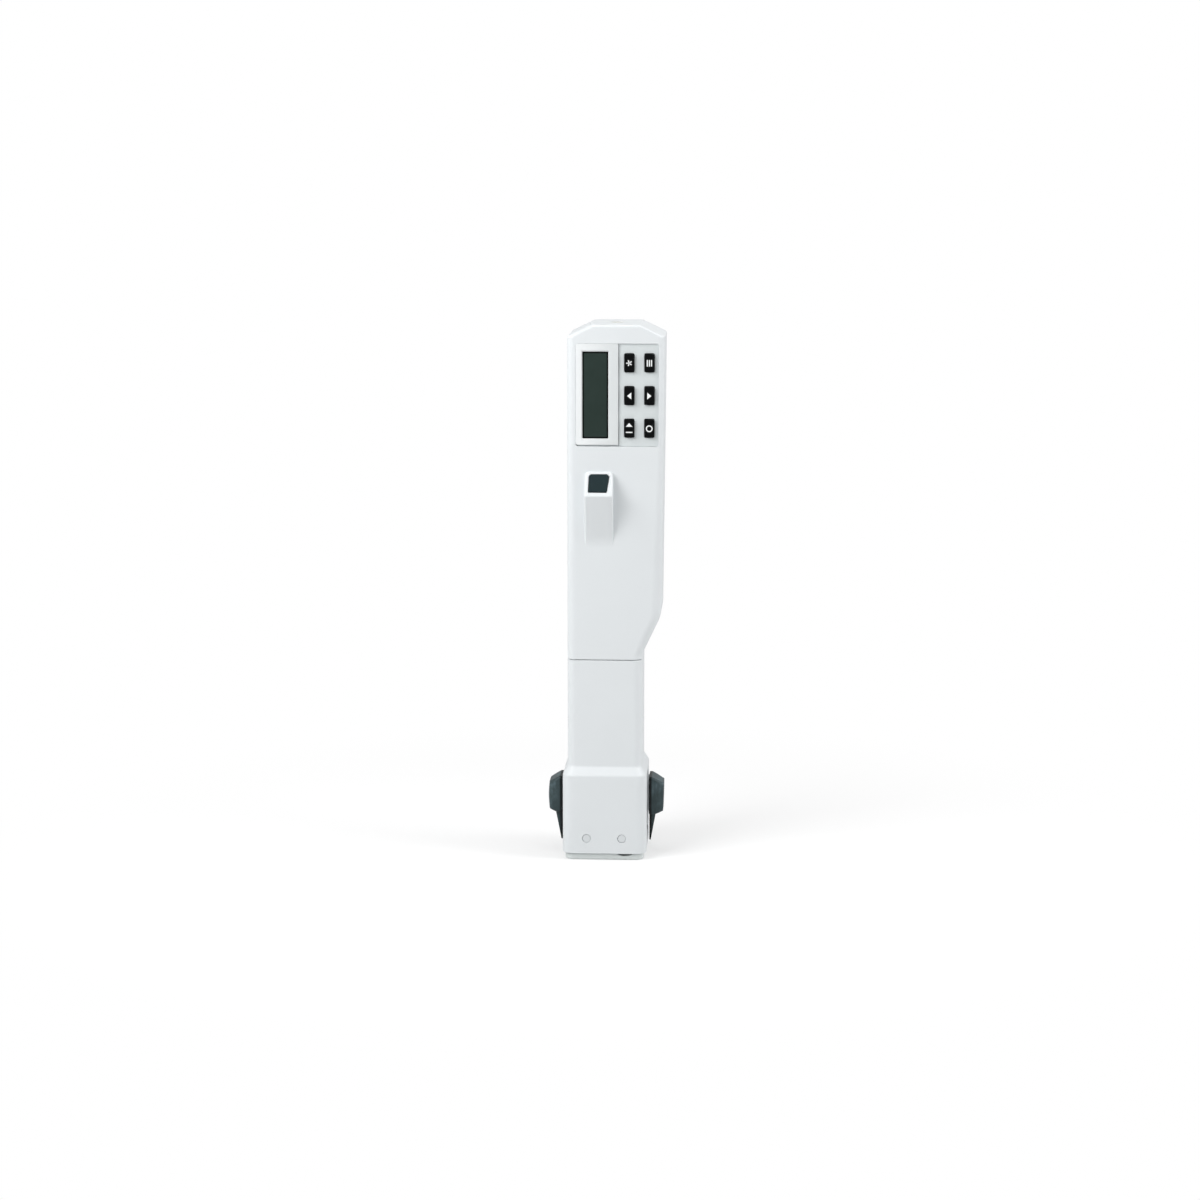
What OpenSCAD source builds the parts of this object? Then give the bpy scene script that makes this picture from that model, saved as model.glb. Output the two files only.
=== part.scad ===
// Electronic repeating pipette: a hand-held stepper dispenser with a motor-driven plunger,
// a keypad and display in its head, and two sprung levers that release the dispensing tip.
// Millimetres. The origin is on the tip socket's axis, in the plane of the foot.
// +Z is up, the front is towards -Y, and the head overhangs towards +X.

/* [Grip] */
// Width of the grip
grip_w = 34.2; // [33.6:0.1:36]
// Depth of the grip and the head, front to back
grip_d = 38; // [37:0.1:40]
// Radius of the grip's upright edges
grip_edge_r = 4; // [3.2:0.1:4.4]
// Thickness of the moulded walls
wall = 2; // [1.8:0.05:2.2]
// Height of the seam between the head and the lower housing
seam_z = 94; // [93:0.1:94.4]
// Width of the shadow gap at that seam
seam_gap = 0.4; // [0.3:0.05:0.6]

/* [Head] */
// Height of the head above the seam
head_h = 153.5; // [153:0.1:155]
// Reach of the head's right side from the tip axis, at the top
head_reach = 27.1; // [26.8:0.1:28]
// Reach of that side just above the slope
head_foot_reach = 25.9; // [25.5:0.1:26.5]
// Height at which the slope under the overhang starts
slope_foot_z = 96; // [95.9:0.1:97]
// Height at which the slope ends
slope_top_z = 114.5; // [112:0.5:117]
// Width of the slanted shoulders at the top
shoulder_w = 10.9; // [10:0.1:12]
// Height of the slanted shoulders
shoulder_h = 5.2; // [4.6:0.1:5.6]
// Rounding of the top's front and rear edges
top_edge_r = 1.2; // [0.8:0.1:1.6]
// Radius of the right upright edges beside the keypad
head_edge_r = 2.4; // [2.2:0.1:2.8]
// Radius of the right upright edges just above the slope
head_foot_edge_r = 5; // [4:0.1:6]

/* [Display and keypad] */
// Distance from the left side to the recess for the display and the keys
recess_left = 4; // [3.9:0.1:4.3]
// Height of the recess
recess_h = 46.7; // [46:0.1:47.5]
// Depth of the recess
recess_depth = 1.4; // [1.2:0.05:1.5]
// Distance from the head's right side to the recess
recess_right = 2.7; // [2.5:0.1:2.9]
// Distance from the top to the recess
recess_drop = 8.4; // [8:0.1:9]
// Width of the display panel
panel_w = 19.4; // [19:0.1:19.8]
// Width of the display window
window_w = 11.8; // [11:0.1:12.4]
// Distance from the ends of the recess to the display window
window_end = 3.65; // [3.4:0.05:4]
// Width of a key
key_w = 4.2; // [4:0.1:4.5]
// Height of a key
key_h = 8.2; // [7.8:0.1:8.7]
// Distance from the recess's right side to the keys
key_margin = 2; // [1.8:0.1:2.2]
// Distance between the key columns
key_pitch_x = 9.1; // [8.8:0.1:9.3]
// Distance between the key rows
key_pitch_z = 14.8; // [14.2:0.1:15]
// How far a key stands out of the keypad plate
key_proud = 1.6; // [1.2:0.1:1.8]
// Travel of a key
key_travel = 0.8; // [0.5:0.05:0.85]

/* [Dispensing key] */
// Width of the pod that carries the dispensing key
pod_w = 12.7; // [12.4:0.1:13.2]
// Centre of the pod, left of the tip axis
pod_offset = 2.6; // [2.2:0.1:3]
// How far the pod's lip stands out of the front
pod_reach = 8.6; // [8.2:0.1:9]
// Distance from the top to the pod's lip
pod_drop = 76.6; // [76:0.1:77]
// Height of the pod's ramp under its lip
pod_ramp_h = 21.9; // [20:0.1:23]
// Tilt of the key's face from upright, in degrees
pod_tilt = 35.5; // [34.5:0.1:36.5]
// Width of the dispensing key at its top
trigger_w = 9.1; // [8.8:0.1:9.4]
// Length of the dispensing key along its slant
trigger_l = 9.1; // [8.9:0.1:9.4]
// Travel of the dispensing key
trigger_travel = 1.5; // [1:0.1:1.5]

/* [Lower housing] */
// Width of the wide block at the bottom
block_w = 38.8; // [38.6:0.1:40]
// Depth of that block
block_d = 42.6; // [42.4:0.1:44]
// Radius of the block's upright edges
block_edge_r = 5; // [4.4:0.1:6]
// Height of the block's lower rim over the foot
block_z = 3.1; // [2.9:0.1:3.2]
// Height at which the block starts to narrow
flare_z = 39.9; // [39.8:0.1:41]
// Height of the narrowing
flare_h = 4; // [3.5:0.1:4.5]
// Height of the foot ring
ring_h = 2.3; // [2.1:0.1:2.4]
// How far the foot ring stands back from the block
ring_inset = 1.2; // [1:0.1:1.4]

/* [Tip socket] */
// Radius of the seat for the tip's flange
socket_r = 11.2; // [11:0.05:11.4]
// Height of the face that the flange meets
socket_top_z = 6.2; // [6:0.1:6.3]
// Radius of the bore above the flange seat
throat_r = 5.6; // [5.5:0.05:5.8]
// Reach of a lever's hook under the flange
hook_bite = 1; // [0.8:0.05:1]
// Width of a hook
hook_w = 6.4; // [6:0.1:6.6]
// Distance of the lever pivots from the tip axis
pivot_x = 8.15; // [8.1:0.05:8.4]
// Height of the lever pivots
pivot_z = 10.25; // [10.2:0.05:10.5]
// Radius of a pivot pin
pin_r = 1.25; // [1.15:0.05:1.3]
// Swing of a lever, in degrees
lever_swing = 8; // [6:0.5:8]

/* [Release levers] */
// Width of a lever's thumb pad
pad_w = 14.4; // [13.6:0.1:14.8]
// How far a thumb pad stands out of the block
pad_reach = 7.5; // [7:0.1:8]
// Height of a thumb pad's upper edge
pad_top_z = 36.4; // [36:0.1:37]
// Height of a thumb pad's lower edge
pad_foot_z = 18.6; // [18:0.1:19]
// Height of the tail's tip under a thumb pad
tail_tip_z = 5.6; // [5:0.1:7]

/* [Drive] */
// Travel of the plunger drive
drive_travel = 45; // [30:1:45]
// Radius of the motor and the gearbox
motor_r = 8; // [7.5:0.1:8.2]
// Length of the motor
motor_l = 38; // [34:0.5:40]
// Length of the gearbox
gearbox_l = 16; // [14:0.5:18]
// Height of the bearing plate under the gearbox
bearing_plate_z = 134; // [133:0.5:136]
// Radius of the lead screw
screw_r = 2.5; // [2.3:0.05:2.6]
// Outer radius of the piston ram
ram_r = 5; // [4.8:0.05:5.1]
// Distance of the guide rods from the tip axis
rod_y = 11; // [10.6:0.1:11.4]
// Radius of a guide rod
rod_r = 1.5; // [1.3:0.05:1.6]
// Height of the drive nut with the plunger down
nut_z = 72; // [71:0.5:76]

/* [Power] */
// Radius of a battery cell
cell_r = 7.25; // [7:0.05:7.3]
// Length of a battery cell
cell_l = 49; // [48:0.1:49.5]
// Radius of the charging socket's bore
jack_r = 2.75; // [2.6:0.05:2.8]
// Depth of the charging socket's bore
jack_depth = 10; // [8:0.1:10.5]

/* [Clearances] */
// Gap round a part that moves
move_gap = 0.25; // [0.2:0.01:0.3]
// Gap between fixed parts that slip into each other
slip_gap = 0.15; // [0.1:0.01:0.2]
// Radial clearance of a pin or a shaft in its bore
run_gap = 0.05; // [0.02:0.01:0.08]

/* [Hidden] */

$fn = 64;
edge_steps = 6;      // flats round a large upright edge
small_steps = 3;     // flats round a small edge
over = 1;            // how far a cutting tool runs past the face that it cuts
sink = 0.6;          // how far a rib or boss is rooted in its wall
bulk = 200;          // half the size of a cutting slab

shell_colour = [0.87, 0.89, 0.9];
dark_colour = [0.2, 0.23, 0.24];
board_colour = [0.1, 0.35, 0.2];
steel_colour = [0.72, 0.73, 0.75];
cream_colour = [0.8, 0.8, 0.76];

// Where the walls run
grip_half = grip_w / 2;
front_y = -grip_d / 2;
inner_y = grip_d / 2 - wall;
inner_x = grip_half - wall;
block_half = block_w / 2;
block_inner_x = block_half - wall;
block_front_y = -block_d / 2;
block_inner_y = block_d / 2 - wall;
top_z = seam_z + head_h;
head_z = seam_z + seam_gap / 2;
lower_top_z = seam_z - seam_gap / 2;

// Slope, shoulders and edges of the head
slope_foot_blend = 1.5;
slope_top_blend = 3;
shoulder_blend = 0.8;
edge_change_z = 185;                     // above this height the right edges keep their radius
shoulder_z = top_z - shoulder_h;
slope_rate = (head_foot_reach - grip_half) / (slope_top_z - slope_foot_z);
head_rate = (head_reach - head_foot_reach) / (shoulder_z - slope_top_z);
shoulder_rate = shoulder_w / shoulder_h;
min_edge_r = 0.5;

// Joint between the two head shells
tongue_t = 0.9;
tongue_h = 1.9;
tongue_gap = 0.1;

// Recess, display and keypad
recess_x0 = recess_left - grip_half;
recess_x1 = head_reach - recess_right;
recess_z1 = top_z - recess_drop;
recess_z0 = recess_z1 - recess_h;
recess_floor_y = front_y + recess_depth;
recess_edge_r = 1;
backing_t = 1.6;                         // thickness of the wall behind the recess
backing_y = recess_floor_y + backing_t;
backing_rim = 1.1;                       // how far that wall runs past the recess
panel_x1 = recess_x0 + panel_w;
panel_proud = 0.1;
panel_step = 0.8;                        // strip of the recess left free under the panel
panel_bevel = 0.35;
window_x0 = recess_x0 + 3;
window_z0 = recess_z0 + window_end;
window_h = recess_h - 2 * window_end;
window_t = 0.9;
view_edge = 0.8;                         // rim of the window that the shell's opening leaves
plate_t = 0.7;
plate_y = recess_floor_y - plate_t;
key_x = recess_x1 - key_margin - (key_w + key_pitch_x) / 2;
key_z = (recess_z0 + recess_z1) / 2 - 0.15;
key_front_y = plate_y - key_proud;
key_edge_r = 0.6;
key_crown = 0.35;
key_flange = 0.6;                        // how far a key's flange runs past the key
key_flange_t = 0.8;
lay_gap = 0.1;                           // between parts that lie on each other
key_flange_y = backing_y + lay_gap;
dome_r = 1.8;
dome_gap = 0.05;
mat_t = 0.6;
board_t = 1.6;
lcd_t = 2.9;
board_y = backing_y + lcd_t + 2 * lay_gap;   // front face of the main board
mat_y = board_y - lay_gap - mat_t;
narrow_reach = min(head_reach, head_foot_reach);
board_x0 = -inner_x + 0.6;
board_x1 = narrow_reach - wall - 0.5;
board_z0 = bearing_plate_z + 4.5;
board_z1 = recess_z1;
lcd_rim = 3;

// Dispensing key and its pod
pod_x = -pod_offset;
pod_lip_z = top_z - pod_drop;
pod_foot_z = pod_lip_z - pod_ramp_h;
pod_edge_r = 1.2;
pod_foot_blend = 3;
pod_lip_y = front_y - pod_reach;
pod_rate = pod_reach / (pod_lip_z - pod_foot_z);
pod_root_y = front_y + 1;
trigger_rim = 1.45;
pod_face_l = trigger_l + 2 * trigger_rim;
trigger_y = pod_lip_y + pod_face_l / 2 * sin(pod_tilt);
trigger_z = pod_lip_z + pod_face_l / 2 * cos(pod_tilt);
pod_top_y = pod_lip_y + pod_face_l * sin(pod_tilt);
pod_top_z = pod_lip_z + pod_face_l * cos(pod_tilt);
trigger_foot_w = trigger_w - 1.1;
trigger_cut = 0.9;
trigger_proud = 0.6;
trigger_t = 3;
pocket_depth = trigger_t - trigger_proud + trigger_travel + 0.7;
spring_seat_r = 3;
seat_depth = 1.8;
guide_t = 0.8;
stem_r = 1.5;
stem_end = pocket_depth + seat_depth + guide_t;
stem_clip_t = 0.65;
stem_clip_r = 2.3;
switch_gap = 0.1;
switch_face = stem_end + stem_clip_t + trigger_travel + switch_gap;
switch_w = 7;
switch_z = trigger_z - switch_face * sin(pod_tilt);
boss_y = 6;

// Screws that hold the head shells together: x, z
case_screw_r = 1.1;
case_head_r = 2.2;
case_head_t = 1.5;
case_boss_r = 2.4;
case_shoulder_r = 3.4;
case_seat_y = 10;
case_tip_y = -6;
jack_x = (head_reach - grip_half) / 2;
top_screw_x = 11.2;                      // from the charging socket
top_screw_z = top_z - 4.2;
low_screw_x = inner_x - 2.9;
low_screw_z = seam_z + 11;
cradle_wall = 1.2;
contact_t = 0.5;
cradle_end = cradle_wall + contact_t;
cell_top_z = top_screw_z - case_shoulder_r - 0.2 - cradle_end;
cell_gap = case_shoulder_r + 0.1 + cradle_end;   // from the screws between the cells to a cell
mid_screw_z = cell_top_z - cell_l - cell_gap;
case_screws_at = [
    [jack_x - top_screw_x, top_screw_z], [jack_x + top_screw_x, top_screw_z],
    [-inner_x + 2.3, mid_screw_z], [17, mid_screw_z],
    [-low_screw_x, low_screw_z], [low_screw_x, low_screw_z]
];
board_screws = [2, 3];                   // the two that pass through the main board

// Battery pack
cell_x = narrow_reach - wall - 0.4 - cell_r;
cell_y = 4.5;
cell_z = [mid_screw_z - cell_gap - cell_l, mid_screw_z + cell_gap];
cradle_y = cell_y + 1;
cradle_gap = 0.15;
cradle_x0 = cell_x - cell_r - cradle_wall;

// Charging socket
jack_neck_r = jack_r + 0.4;
jack_hole_r = jack_neck_r + 0.1;
jack_body_w = 7.4;
jack_body_h = 10.4;

// Drive train
bearing_plate_t = 4;
plate_clip = 1.5;                        // cut corners of the plates
journal_r = 2;
journal_l = 9;
bearing_r = 4.75;
bearing_t = 3;
nut_h = 10;
nut_r = 6.2;
ram_bore_r = screw_r + 0.6;
gripper_z = 14;
gripper_h = 12;
gripper_bore_r = 4;
gripper_slit = 0.9;
ram_z = gripper_z + gripper_h;
ram_floor_t = 2;
screw_foot_z = ram_z + ram_floor_t + drive_travel + 0.5;
ram_top_z = nut_z + nut_h - 2;
lower_plate_z = 52;
lower_plate_t = 4;
ledge_w = 6;
ledge_h = 4;
ledge_d = 2;
collar_h = 5;
collar_t = 1.4;

// Tip holder, foot and levers
holder_z = ring_h;
holder_top_z = 20;
holder_half_x = block_inner_x - slip_gap;
holder_half_y = block_inner_y - slip_gap;
sleeve_r = 8.2;
sleeve_top_z = 36;
spring_z = 30;
spring_boss_r = 2.6;
spring_boss_x = 9.5;
eye_r = 2.6;
eye_y0 = 7.5;                            // inner side of a lever's eye
eye_y1 = 12.5;                           // outer side
arm_t = 4;
link_x0 = block_inner_x - 3;             // inner side of a lever's upright plate
link_x1 = block_inner_x - 0.3;
link_top_z = pad_top_z - 0.8;
hook_x0 = socket_r + 1.2;
hook_x1 = hook_x0 + 2.6;
hook_z0 = 0.4;
hook_t = 1.2;
hook_gap = 0.4;
pad_gap = 0.8;                           // gap between the block and a thumb pad
pad_x0 = block_half + pad_gap;
pad_x1 = block_half + pad_reach;
slot_gap = 0.6;
slot_z0 = 11;
swung_top_z = (pad_top_z - pivot_z) * cos(lever_swing) + (pad_x0 - pivot_x) * sin(lever_swing);
slot_z1 = pivot_z + swung_top_z + slot_gap;
cover_x1 = block_half - 0.4;             // outer face of the cover that fills a lever's slot
cover_top_z = slot_z1 - 0.8;
pin_head_r = 1.9;
pin_head_sink = 0.15;
pin_hole_gap = 0.1;
ring_hole_r = socket_r + 0.4;
ring_notch = [6, 13];                    // ends of the notch in the ring's front edge
base_screw_x = 11;
base_screw_y = block_inner_y - 3.1;
base_screw_r = 0.9;
base_head_r = 1.8;
base_head_t = 1.1;
base_head_sink = 0.3;
base_screw_l = 5;                        // in the tip holder
board_thin = 1.2;

// ---------------------------------------------------------------- shapes used throughout

// A distance that is 0 before a corner, runs on after it, and bends softly at the corner.
function ramp(z, corner, blend) =
    z <= corner - blend ? 0 :
    z >= corner + blend ? z - corner :
    pow(z - corner + blend, 2) / (4 * blend);

function arc(centre, r, start, steps) =
    [for (i = [0:steps]) centre + r * [cos(start + 90 * i / steps), sin(start + 90 * i / steps)]];

// A rounded rectangle at one height, with its own edge radius at the left and at the right.
function ring(z, x0, x1, y0, y1, r_left, r_right, steps = edge_steps) =
    [for (p = concat(
        arc([x1 - r_right, y0 + r_right], r_right, -90, steps),
        arc([x1 - r_right, y1 - r_right], r_right, 0, steps),
        arc([x0 + r_left, y1 - r_left], r_left, 90, steps),
        arc([x0 + r_left, y0 + r_left], r_left, 180, steps)
    )) [p[0], p[1], z]];

function even_ring(z, half_x, half_y, r, steps = edge_steps) =
    ring(z, -half_x, half_x, -half_y, half_y, r, r, steps);

// A solid skinned over a stack of rings that have the same number of points.
module loft(rings) {
    n = len(rings[0]);
    last = (len(rings) - 1) * n;
    polyhedron(
        points = [for (r = rings) for (p = r) p],
        faces = concat(
            [[for (i = [0:n - 1]) i]],
            [[for (i = [n - 1:-1:0]) last + i]],
            [for (k = [0:len(rings) - 2]) for (i = [0:n - 1])
                let (a = k * n + i, b = k * n + (i + 1) % n) [a, a + n, b + n]],
            [for (k = [0:len(rings) - 2]) for (i = [0:n - 1])
                let (a = k * n + i, b = k * n + (i + 1) % n) [a, b + n, b]]
        )
    );
}

// A box given by its corners.
module block(x, y, z) {
    translate([x[0], y[0], z[0]])
        cube([x[1] - x[0], y[1] - y[0], z[1] - z[0]]);
}

// A rounded plate whose faces look along Y.
module plate_y_facing(x, y, z, r) {
    translate([0, y[1], 0])
        rotate([90, 0, 0])
            loft([for (h = [0, y[1] - y[0]]) ring(h, x[0], x[1], z[0], z[1], r, r, small_steps)]);
}

// A cylinder along Y from y0 to y1.
module rod_y(x, z, r, y0, y1) {
    translate([x, y1, z])
        rotate([90, 0, 0])
            cylinder(r = r, h = y1 - y0);
}

// A coil spring that stands on the origin.
module coil(r, wire_r, length, turns) {
    steps = 12 * turns;
    sides = 6;
    pitch = length - 2 * wire_r;
    polyhedron(
        points = [for (i = [0:steps]) for (j = [0:sides - 1])
            let (a = 360 * turns * i / steps, b = 360 * j / sides, reach = r + wire_r * cos(b))
            [reach * cos(a), reach * sin(a), wire_r + pitch * i / steps + wire_r * sin(b)]],
        faces = concat(
            [[for (j = [0:sides - 1]) j]],
            [[for (j = [sides - 1:-1:0]) steps * sides + j]],
            [for (i = [0:steps - 1]) for (j = [0:sides - 1])
                let (a = i * sides + j, b = i * sides + (j + 1) % sides) [a, a + sides, b + sides]],
            [for (i = [0:steps - 1]) for (j = [0:sides - 1])
                let (a = i * sides + j, b = i * sides + (j + 1) % sides) [a, b + sides, b]]
        )
    );
}

// ---------------------------------------------------------------- head shells

function shoulder(z) = shoulder_rate * ramp(z, shoulder_z, shoulder_blend);

function head_right(z) =
    grip_half + slope_rate * ramp(z, slope_foot_z, slope_foot_blend)
    - (slope_rate - head_rate) * ramp(z, slope_top_z, slope_top_blend);

function right_edge_r(z) =
    lookup(z, [[seam_z, grip_edge_r], [slope_top_z, head_foot_edge_r], [edge_change_z, head_edge_r]]);

function top_rounding(z) =
    z > top_z - top_edge_r ? top_edge_r - sqrt(pow(top_edge_r, 2) - pow(z - top_z + top_edge_r, 2)) : 0;

// How far under the outer shoulder the inner one lies, for a wall of the given inset.
function shoulder_drop(inset) = inset / cos(atan(shoulder_h / shoulder_w));

function head_ring(z, inset) =
    let (
        shoulder_in = shoulder(z + shoulder_drop(inset)),
        y = grip_d / 2 - inset - (inset == 0 ? top_rounding(z) : 0)
    )
    ring(
        z, -grip_half + max(inset, shoulder_in), min(head_right(z) - inset, head_reach - shoulder_in),
        -y, y, max(grip_edge_r - inset, min_edge_r), max(right_edge_r(z) - inset, min_edge_r)
    );

function head_levels(inset) = concat(
    [inset == 0 ? head_z : head_z - over],
    [for (k = [-1:1]) slope_foot_z + k * slope_foot_blend],
    [for (k = [-1:0.5:1]) slope_top_z + k * slope_top_blend],
    [edge_change_z],
    inset == 0
        ? concat(
            [for (k = [-1:1]) shoulder_z + k * shoulder_blend],
            [for (a = [0:30:90]) top_z - top_edge_r * (1 - sin(a))]
        )
        : [
            shoulder_z - shoulder_drop(inset) + shoulder_blend,
            shoulder_z - shoulder_drop(inset) + inset / shoulder_rate + shoulder_blend,
            top_z - inset
        ]
);

// The head's form, drawn in from its skin by the inset.
module head_form(inset) {
    loft([for (z = head_levels(inset)) head_ring(z, inset)]);
}

// Everything between two depths.
module between_y(y0, y1) {
    block([-bulk, bulk], [y0, y1], [-bulk, 2 * bulk]);
}

module case_screw_holes(r, y0, y1) {
    for (p = case_screws_at)
        rod_y(p[0], p[1], r, y0, y1);
}

module board_screw_holes(r, y0, y1) {
    for (i = board_screws)
        rod_y(case_screws_at[i][0], case_screws_at[i][1], r, y0, y1);
}

module jack_hole() {
    translate([jack_x, 0, top_z - 2 * wall])
        cylinder(r = jack_hole_r, h = 3 * wall);
}

function pod_front(z) = front_y - pod_rate * ramp(z, pod_foot_z, pod_foot_blend);

function pod_ring(z, y) =
    let (r = min(pod_edge_r, (pod_root_y - y) / 2 - 0.1))
    ring(z, pod_x - pod_w / 2, pod_x + pod_w / 2, y, pod_root_y, r, r, small_steps);

// The pod grows out of the front in a ramp and is cut back by the slanted face of the key.
module pod_form() {
    lip_r = 0.6;
    loft(concat(
        [for (k = [-1:0.5:1]) let (z = pod_foot_z + k * pod_foot_blend) pod_ring(z, pod_front(z))],
        [
            pod_ring(pod_lip_z - lip_r, pod_front(pod_lip_z - lip_r)),
            pod_ring(pod_lip_z, pod_lip_y + lip_r / 4),
            pod_ring(pod_lip_z + lip_r, pod_lip_y + lip_r * tan(pod_tilt) + lip_r / 8),
            pod_ring(pod_top_z, pod_top_y),
            pod_ring(pod_top_z + lip_r, (pod_top_y + front_y) / 2)
        ]
    ));
}

// Puts its children in the dispensing key's frame: local Z points out of the slanted face.
module at_trigger(depth = 0) {
    translate([pod_x, trigger_y, trigger_z])
        rotate([90 - pod_tilt, 0, 0])
            translate([0, 0, -depth])
                children();
}

module trigger_outline(gap) {
    foot = trigger_foot_w / 2 + gap;
    head = trigger_w / 2 + gap;
    y = trigger_l / 2 + gap;
    polygon([
        [-foot + trigger_cut, -y], [foot - trigger_cut, -y], [foot, -y + trigger_cut],
        [head, y - trigger_cut], [head - trigger_cut, y], [-head + trigger_cut, y],
        [-head, y - trigger_cut], [-foot, -y + trigger_cut]
    ]);
}

// The pocket, spring seat and stem guide of the dispensing key.
module trigger_pocket() {
    at_trigger(pocket_depth)
        linear_extrude(pocket_depth + 2 * wall)
            trigger_outline(move_gap);
    at_trigger(pocket_depth + seat_depth)
        cylinder(r = spring_seat_r, h = seat_depth + over);
    at_trigger(stem_end + over)
        cylinder(r = stem_r + run_gap, h = stem_end);
    at_trigger(stem_end + 2 * wall)
        cylinder(r = stem_clip_r + move_gap, h = 2 * wall);
}

// The hollow behind the pod's ramp, which keeps the moulding's wall even.
module pod_core() {
    z0 = pod_foot_z + 5;
    z1 = pod_foot_z + 14;
    skin = 1.2 * wall;
    translate([pod_x - pod_w / 2 + wall, 0, 0])
        rotate([90, 0, 90])
            linear_extrude(pod_w - 2 * wall)
                polygon([
                    [-inner_y + over, z0], [pod_front(z0) + skin, z0],
                    [pod_front(z1) + skin, z1], [-inner_y + over, z1]
                ]);
}

module key_holes(gap, y0, y1) {
    for (column = [-0.5, 0.5], row = [-1:1]) {
        x = key_x + column * key_pitch_x;
        z = key_z + row * key_pitch_z;
        block(
            [x - key_w / 2 - gap, x + key_w / 2 + gap], [y0, y1],
            [z - key_h / 2 - gap, z + key_h / 2 + gap]
        );
    }
}

// Ledges under a cross plate, on the front or the rear wall.
module plate_ledges(z, side, wall_y, at_x = [-inner_x + ledge_w, inner_x - ledge_w]) {
    for (x = at_x)
        block(
            [x - ledge_w / 2, x + ledge_w / 2],
            side > 0 ? [wall_y - ledge_d, wall_y + sink] : [-wall_y - sink, -wall_y + ledge_d],
            [z - ledge_h, z]
        );
}

module front_shell() {
    color(shell_colour)
        difference() {
            union() {
                difference() {
                    union() {
                        intersection() {
                            head_form(0);
                            between_y(-bulk, 0);
                        }
                        intersection() {
                            head_form(wall - tongue_t);
                            between_y(-tongue_h, tongue_h);
                            translate([0, 0, head_z])
                                block([-bulk, bulk], [-bulk, bulk], [0, bulk]);
                        }
                        pod_form();
                    }
                    head_form(wall);
                }
                block(
                    [recess_x0 - backing_rim, recess_x1 + backing_rim],
                    [-inner_y - sink, backing_y],
                    [recess_z0 - backing_rim, recess_z1 + backing_rim]
                );
                at_trigger(stem_end)
                    block(
                        [-pod_w / 2 + 0.3, pod_w / 2 - 0.3], [-boss_y, boss_y],
                        [0, seat_depth + 2 * guide_t]
                    );
                case_screw_holes(case_boss_r, -inner_y - sink, 0);
                board_screw_holes(case_shoulder_r, -inner_y - sink, board_y);
                plate_ledges(bearing_plate_z, -1, inner_y);
            }
            plate_y_facing(
                [recess_x0, recess_x1], [front_y - over, recess_floor_y],
                [recess_z0, recess_z1], recess_edge_r
            );
            block(
                [window_x0 + view_edge, window_x0 + window_w - view_edge],
                [recess_floor_y - over, backing_y + over],
                [window_z0 + view_edge, window_z0 + window_h - view_edge]
            );
            key_holes(move_gap, recess_floor_y - over, backing_y + over);
            trigger_pocket();
            pod_core();
            case_screw_holes(case_screw_r, case_tip_y - 2, over);
            case_screw_holes(case_shoulder_r + tongue_gap, 0, tongue_h + over);
            jack_hole();
        }
}

module rear_shell() {
    counterbore_r = case_head_r + 0.3;
    color(shell_colour)
        difference() {
            union() {
                difference() {
                    intersection() {
                        head_form(0);
                        between_y(0, bulk);
                    }
                    intersection() {
                        head_form(wall - tongue_t - tongue_gap);
                        between_y(-bulk, tongue_h + tongue_gap);
                    }
                    head_form(wall);
                }
                case_screw_holes(case_shoulder_r, tongue_gap, inner_y + sink);
                plate_ledges(bearing_plate_z, 1, inner_y, [-inner_x + ledge_w, 1]);
            }
            case_screw_holes(case_screw_r + 0.2, -over, grip_d);
            case_screw_holes(counterbore_r, case_seat_y, grip_d);
            jack_hole();
        }
}

module case_screws() {
    color(steel_colour)
        for (p = case_screws_at) {
            rod_y(p[0], p[1], case_screw_r, case_tip_y, case_seat_y + case_head_t / 2);
            difference() {
                rod_y(p[0], p[1], case_head_r, case_seat_y, case_seat_y + case_head_t);
                translate([p[0], case_seat_y + case_head_t + over, p[1]])
                    rotate([90, 0, 0])
                        cylinder(r = case_screw_r, h = case_head_t / 2 + over, $fn = 6);
            }
        }
}

// ---------------------------------------------------------------- display and keypad

module display_panel() {
    y0 = front_y - panel_proud;
    x0 = recess_x0 + slip_gap;
    x1 = panel_x1 - slip_gap / 2;
    z0 = recess_z0 + panel_step;
    z1 = recess_z1 - slip_gap;
    bevel_y = y0 + panel_bevel;
    color(shell_colour)
        difference() {
            plate_y_facing([x0, x1], [y0, recess_floor_y], [z0, z1], recess_edge_r - slip_gap);
            block(
                [window_x0, window_x0 + window_w], [y0 - over, recess_floor_y + over],
                [window_z0, window_z0 + window_h]
            );
            translate([0, bevel_y, 0])
                rotate([90, 0, 0])
                    loft([for (step = [0, 1]) let (grow = step * panel_bevel) ring(
                        step * (panel_bevel + 0.01), window_x0 - grow, window_x0 + window_w + grow,
                        window_z0 - grow, window_z0 + window_h + grow,
                        recess_edge_r / 2, recess_edge_r / 2, small_steps
                    )]);
        }
}

module display_window() {
    gap = slip_gap / 2;
    color([0.17, 0.2, 0.2])
        block(
            [window_x0 + gap, window_x0 + window_w - gap], [recess_floor_y - window_t, recess_floor_y],
            [window_z0 + gap, window_z0 + window_h - gap]
        );
}

module lcd_module() {
    y0 = backing_y + lay_gap;
    y1 = y0 + lcd_t;
    glass_t = 0.8;
    color([0.25, 0.3, 0.28])
        difference() {
            block(
                [window_x0 - lcd_rim, window_x0 + window_w + lcd_rim - 0.4], [y0, y1],
                [window_z0 - lcd_rim, window_z0 + window_h + lcd_rim - 0.4]
            );
            block(
                [window_x0, window_x0 + window_w], [y0 - over, y0 + glass_t],
                [window_z0, window_z0 + window_h]
            );
        }
}

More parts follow.
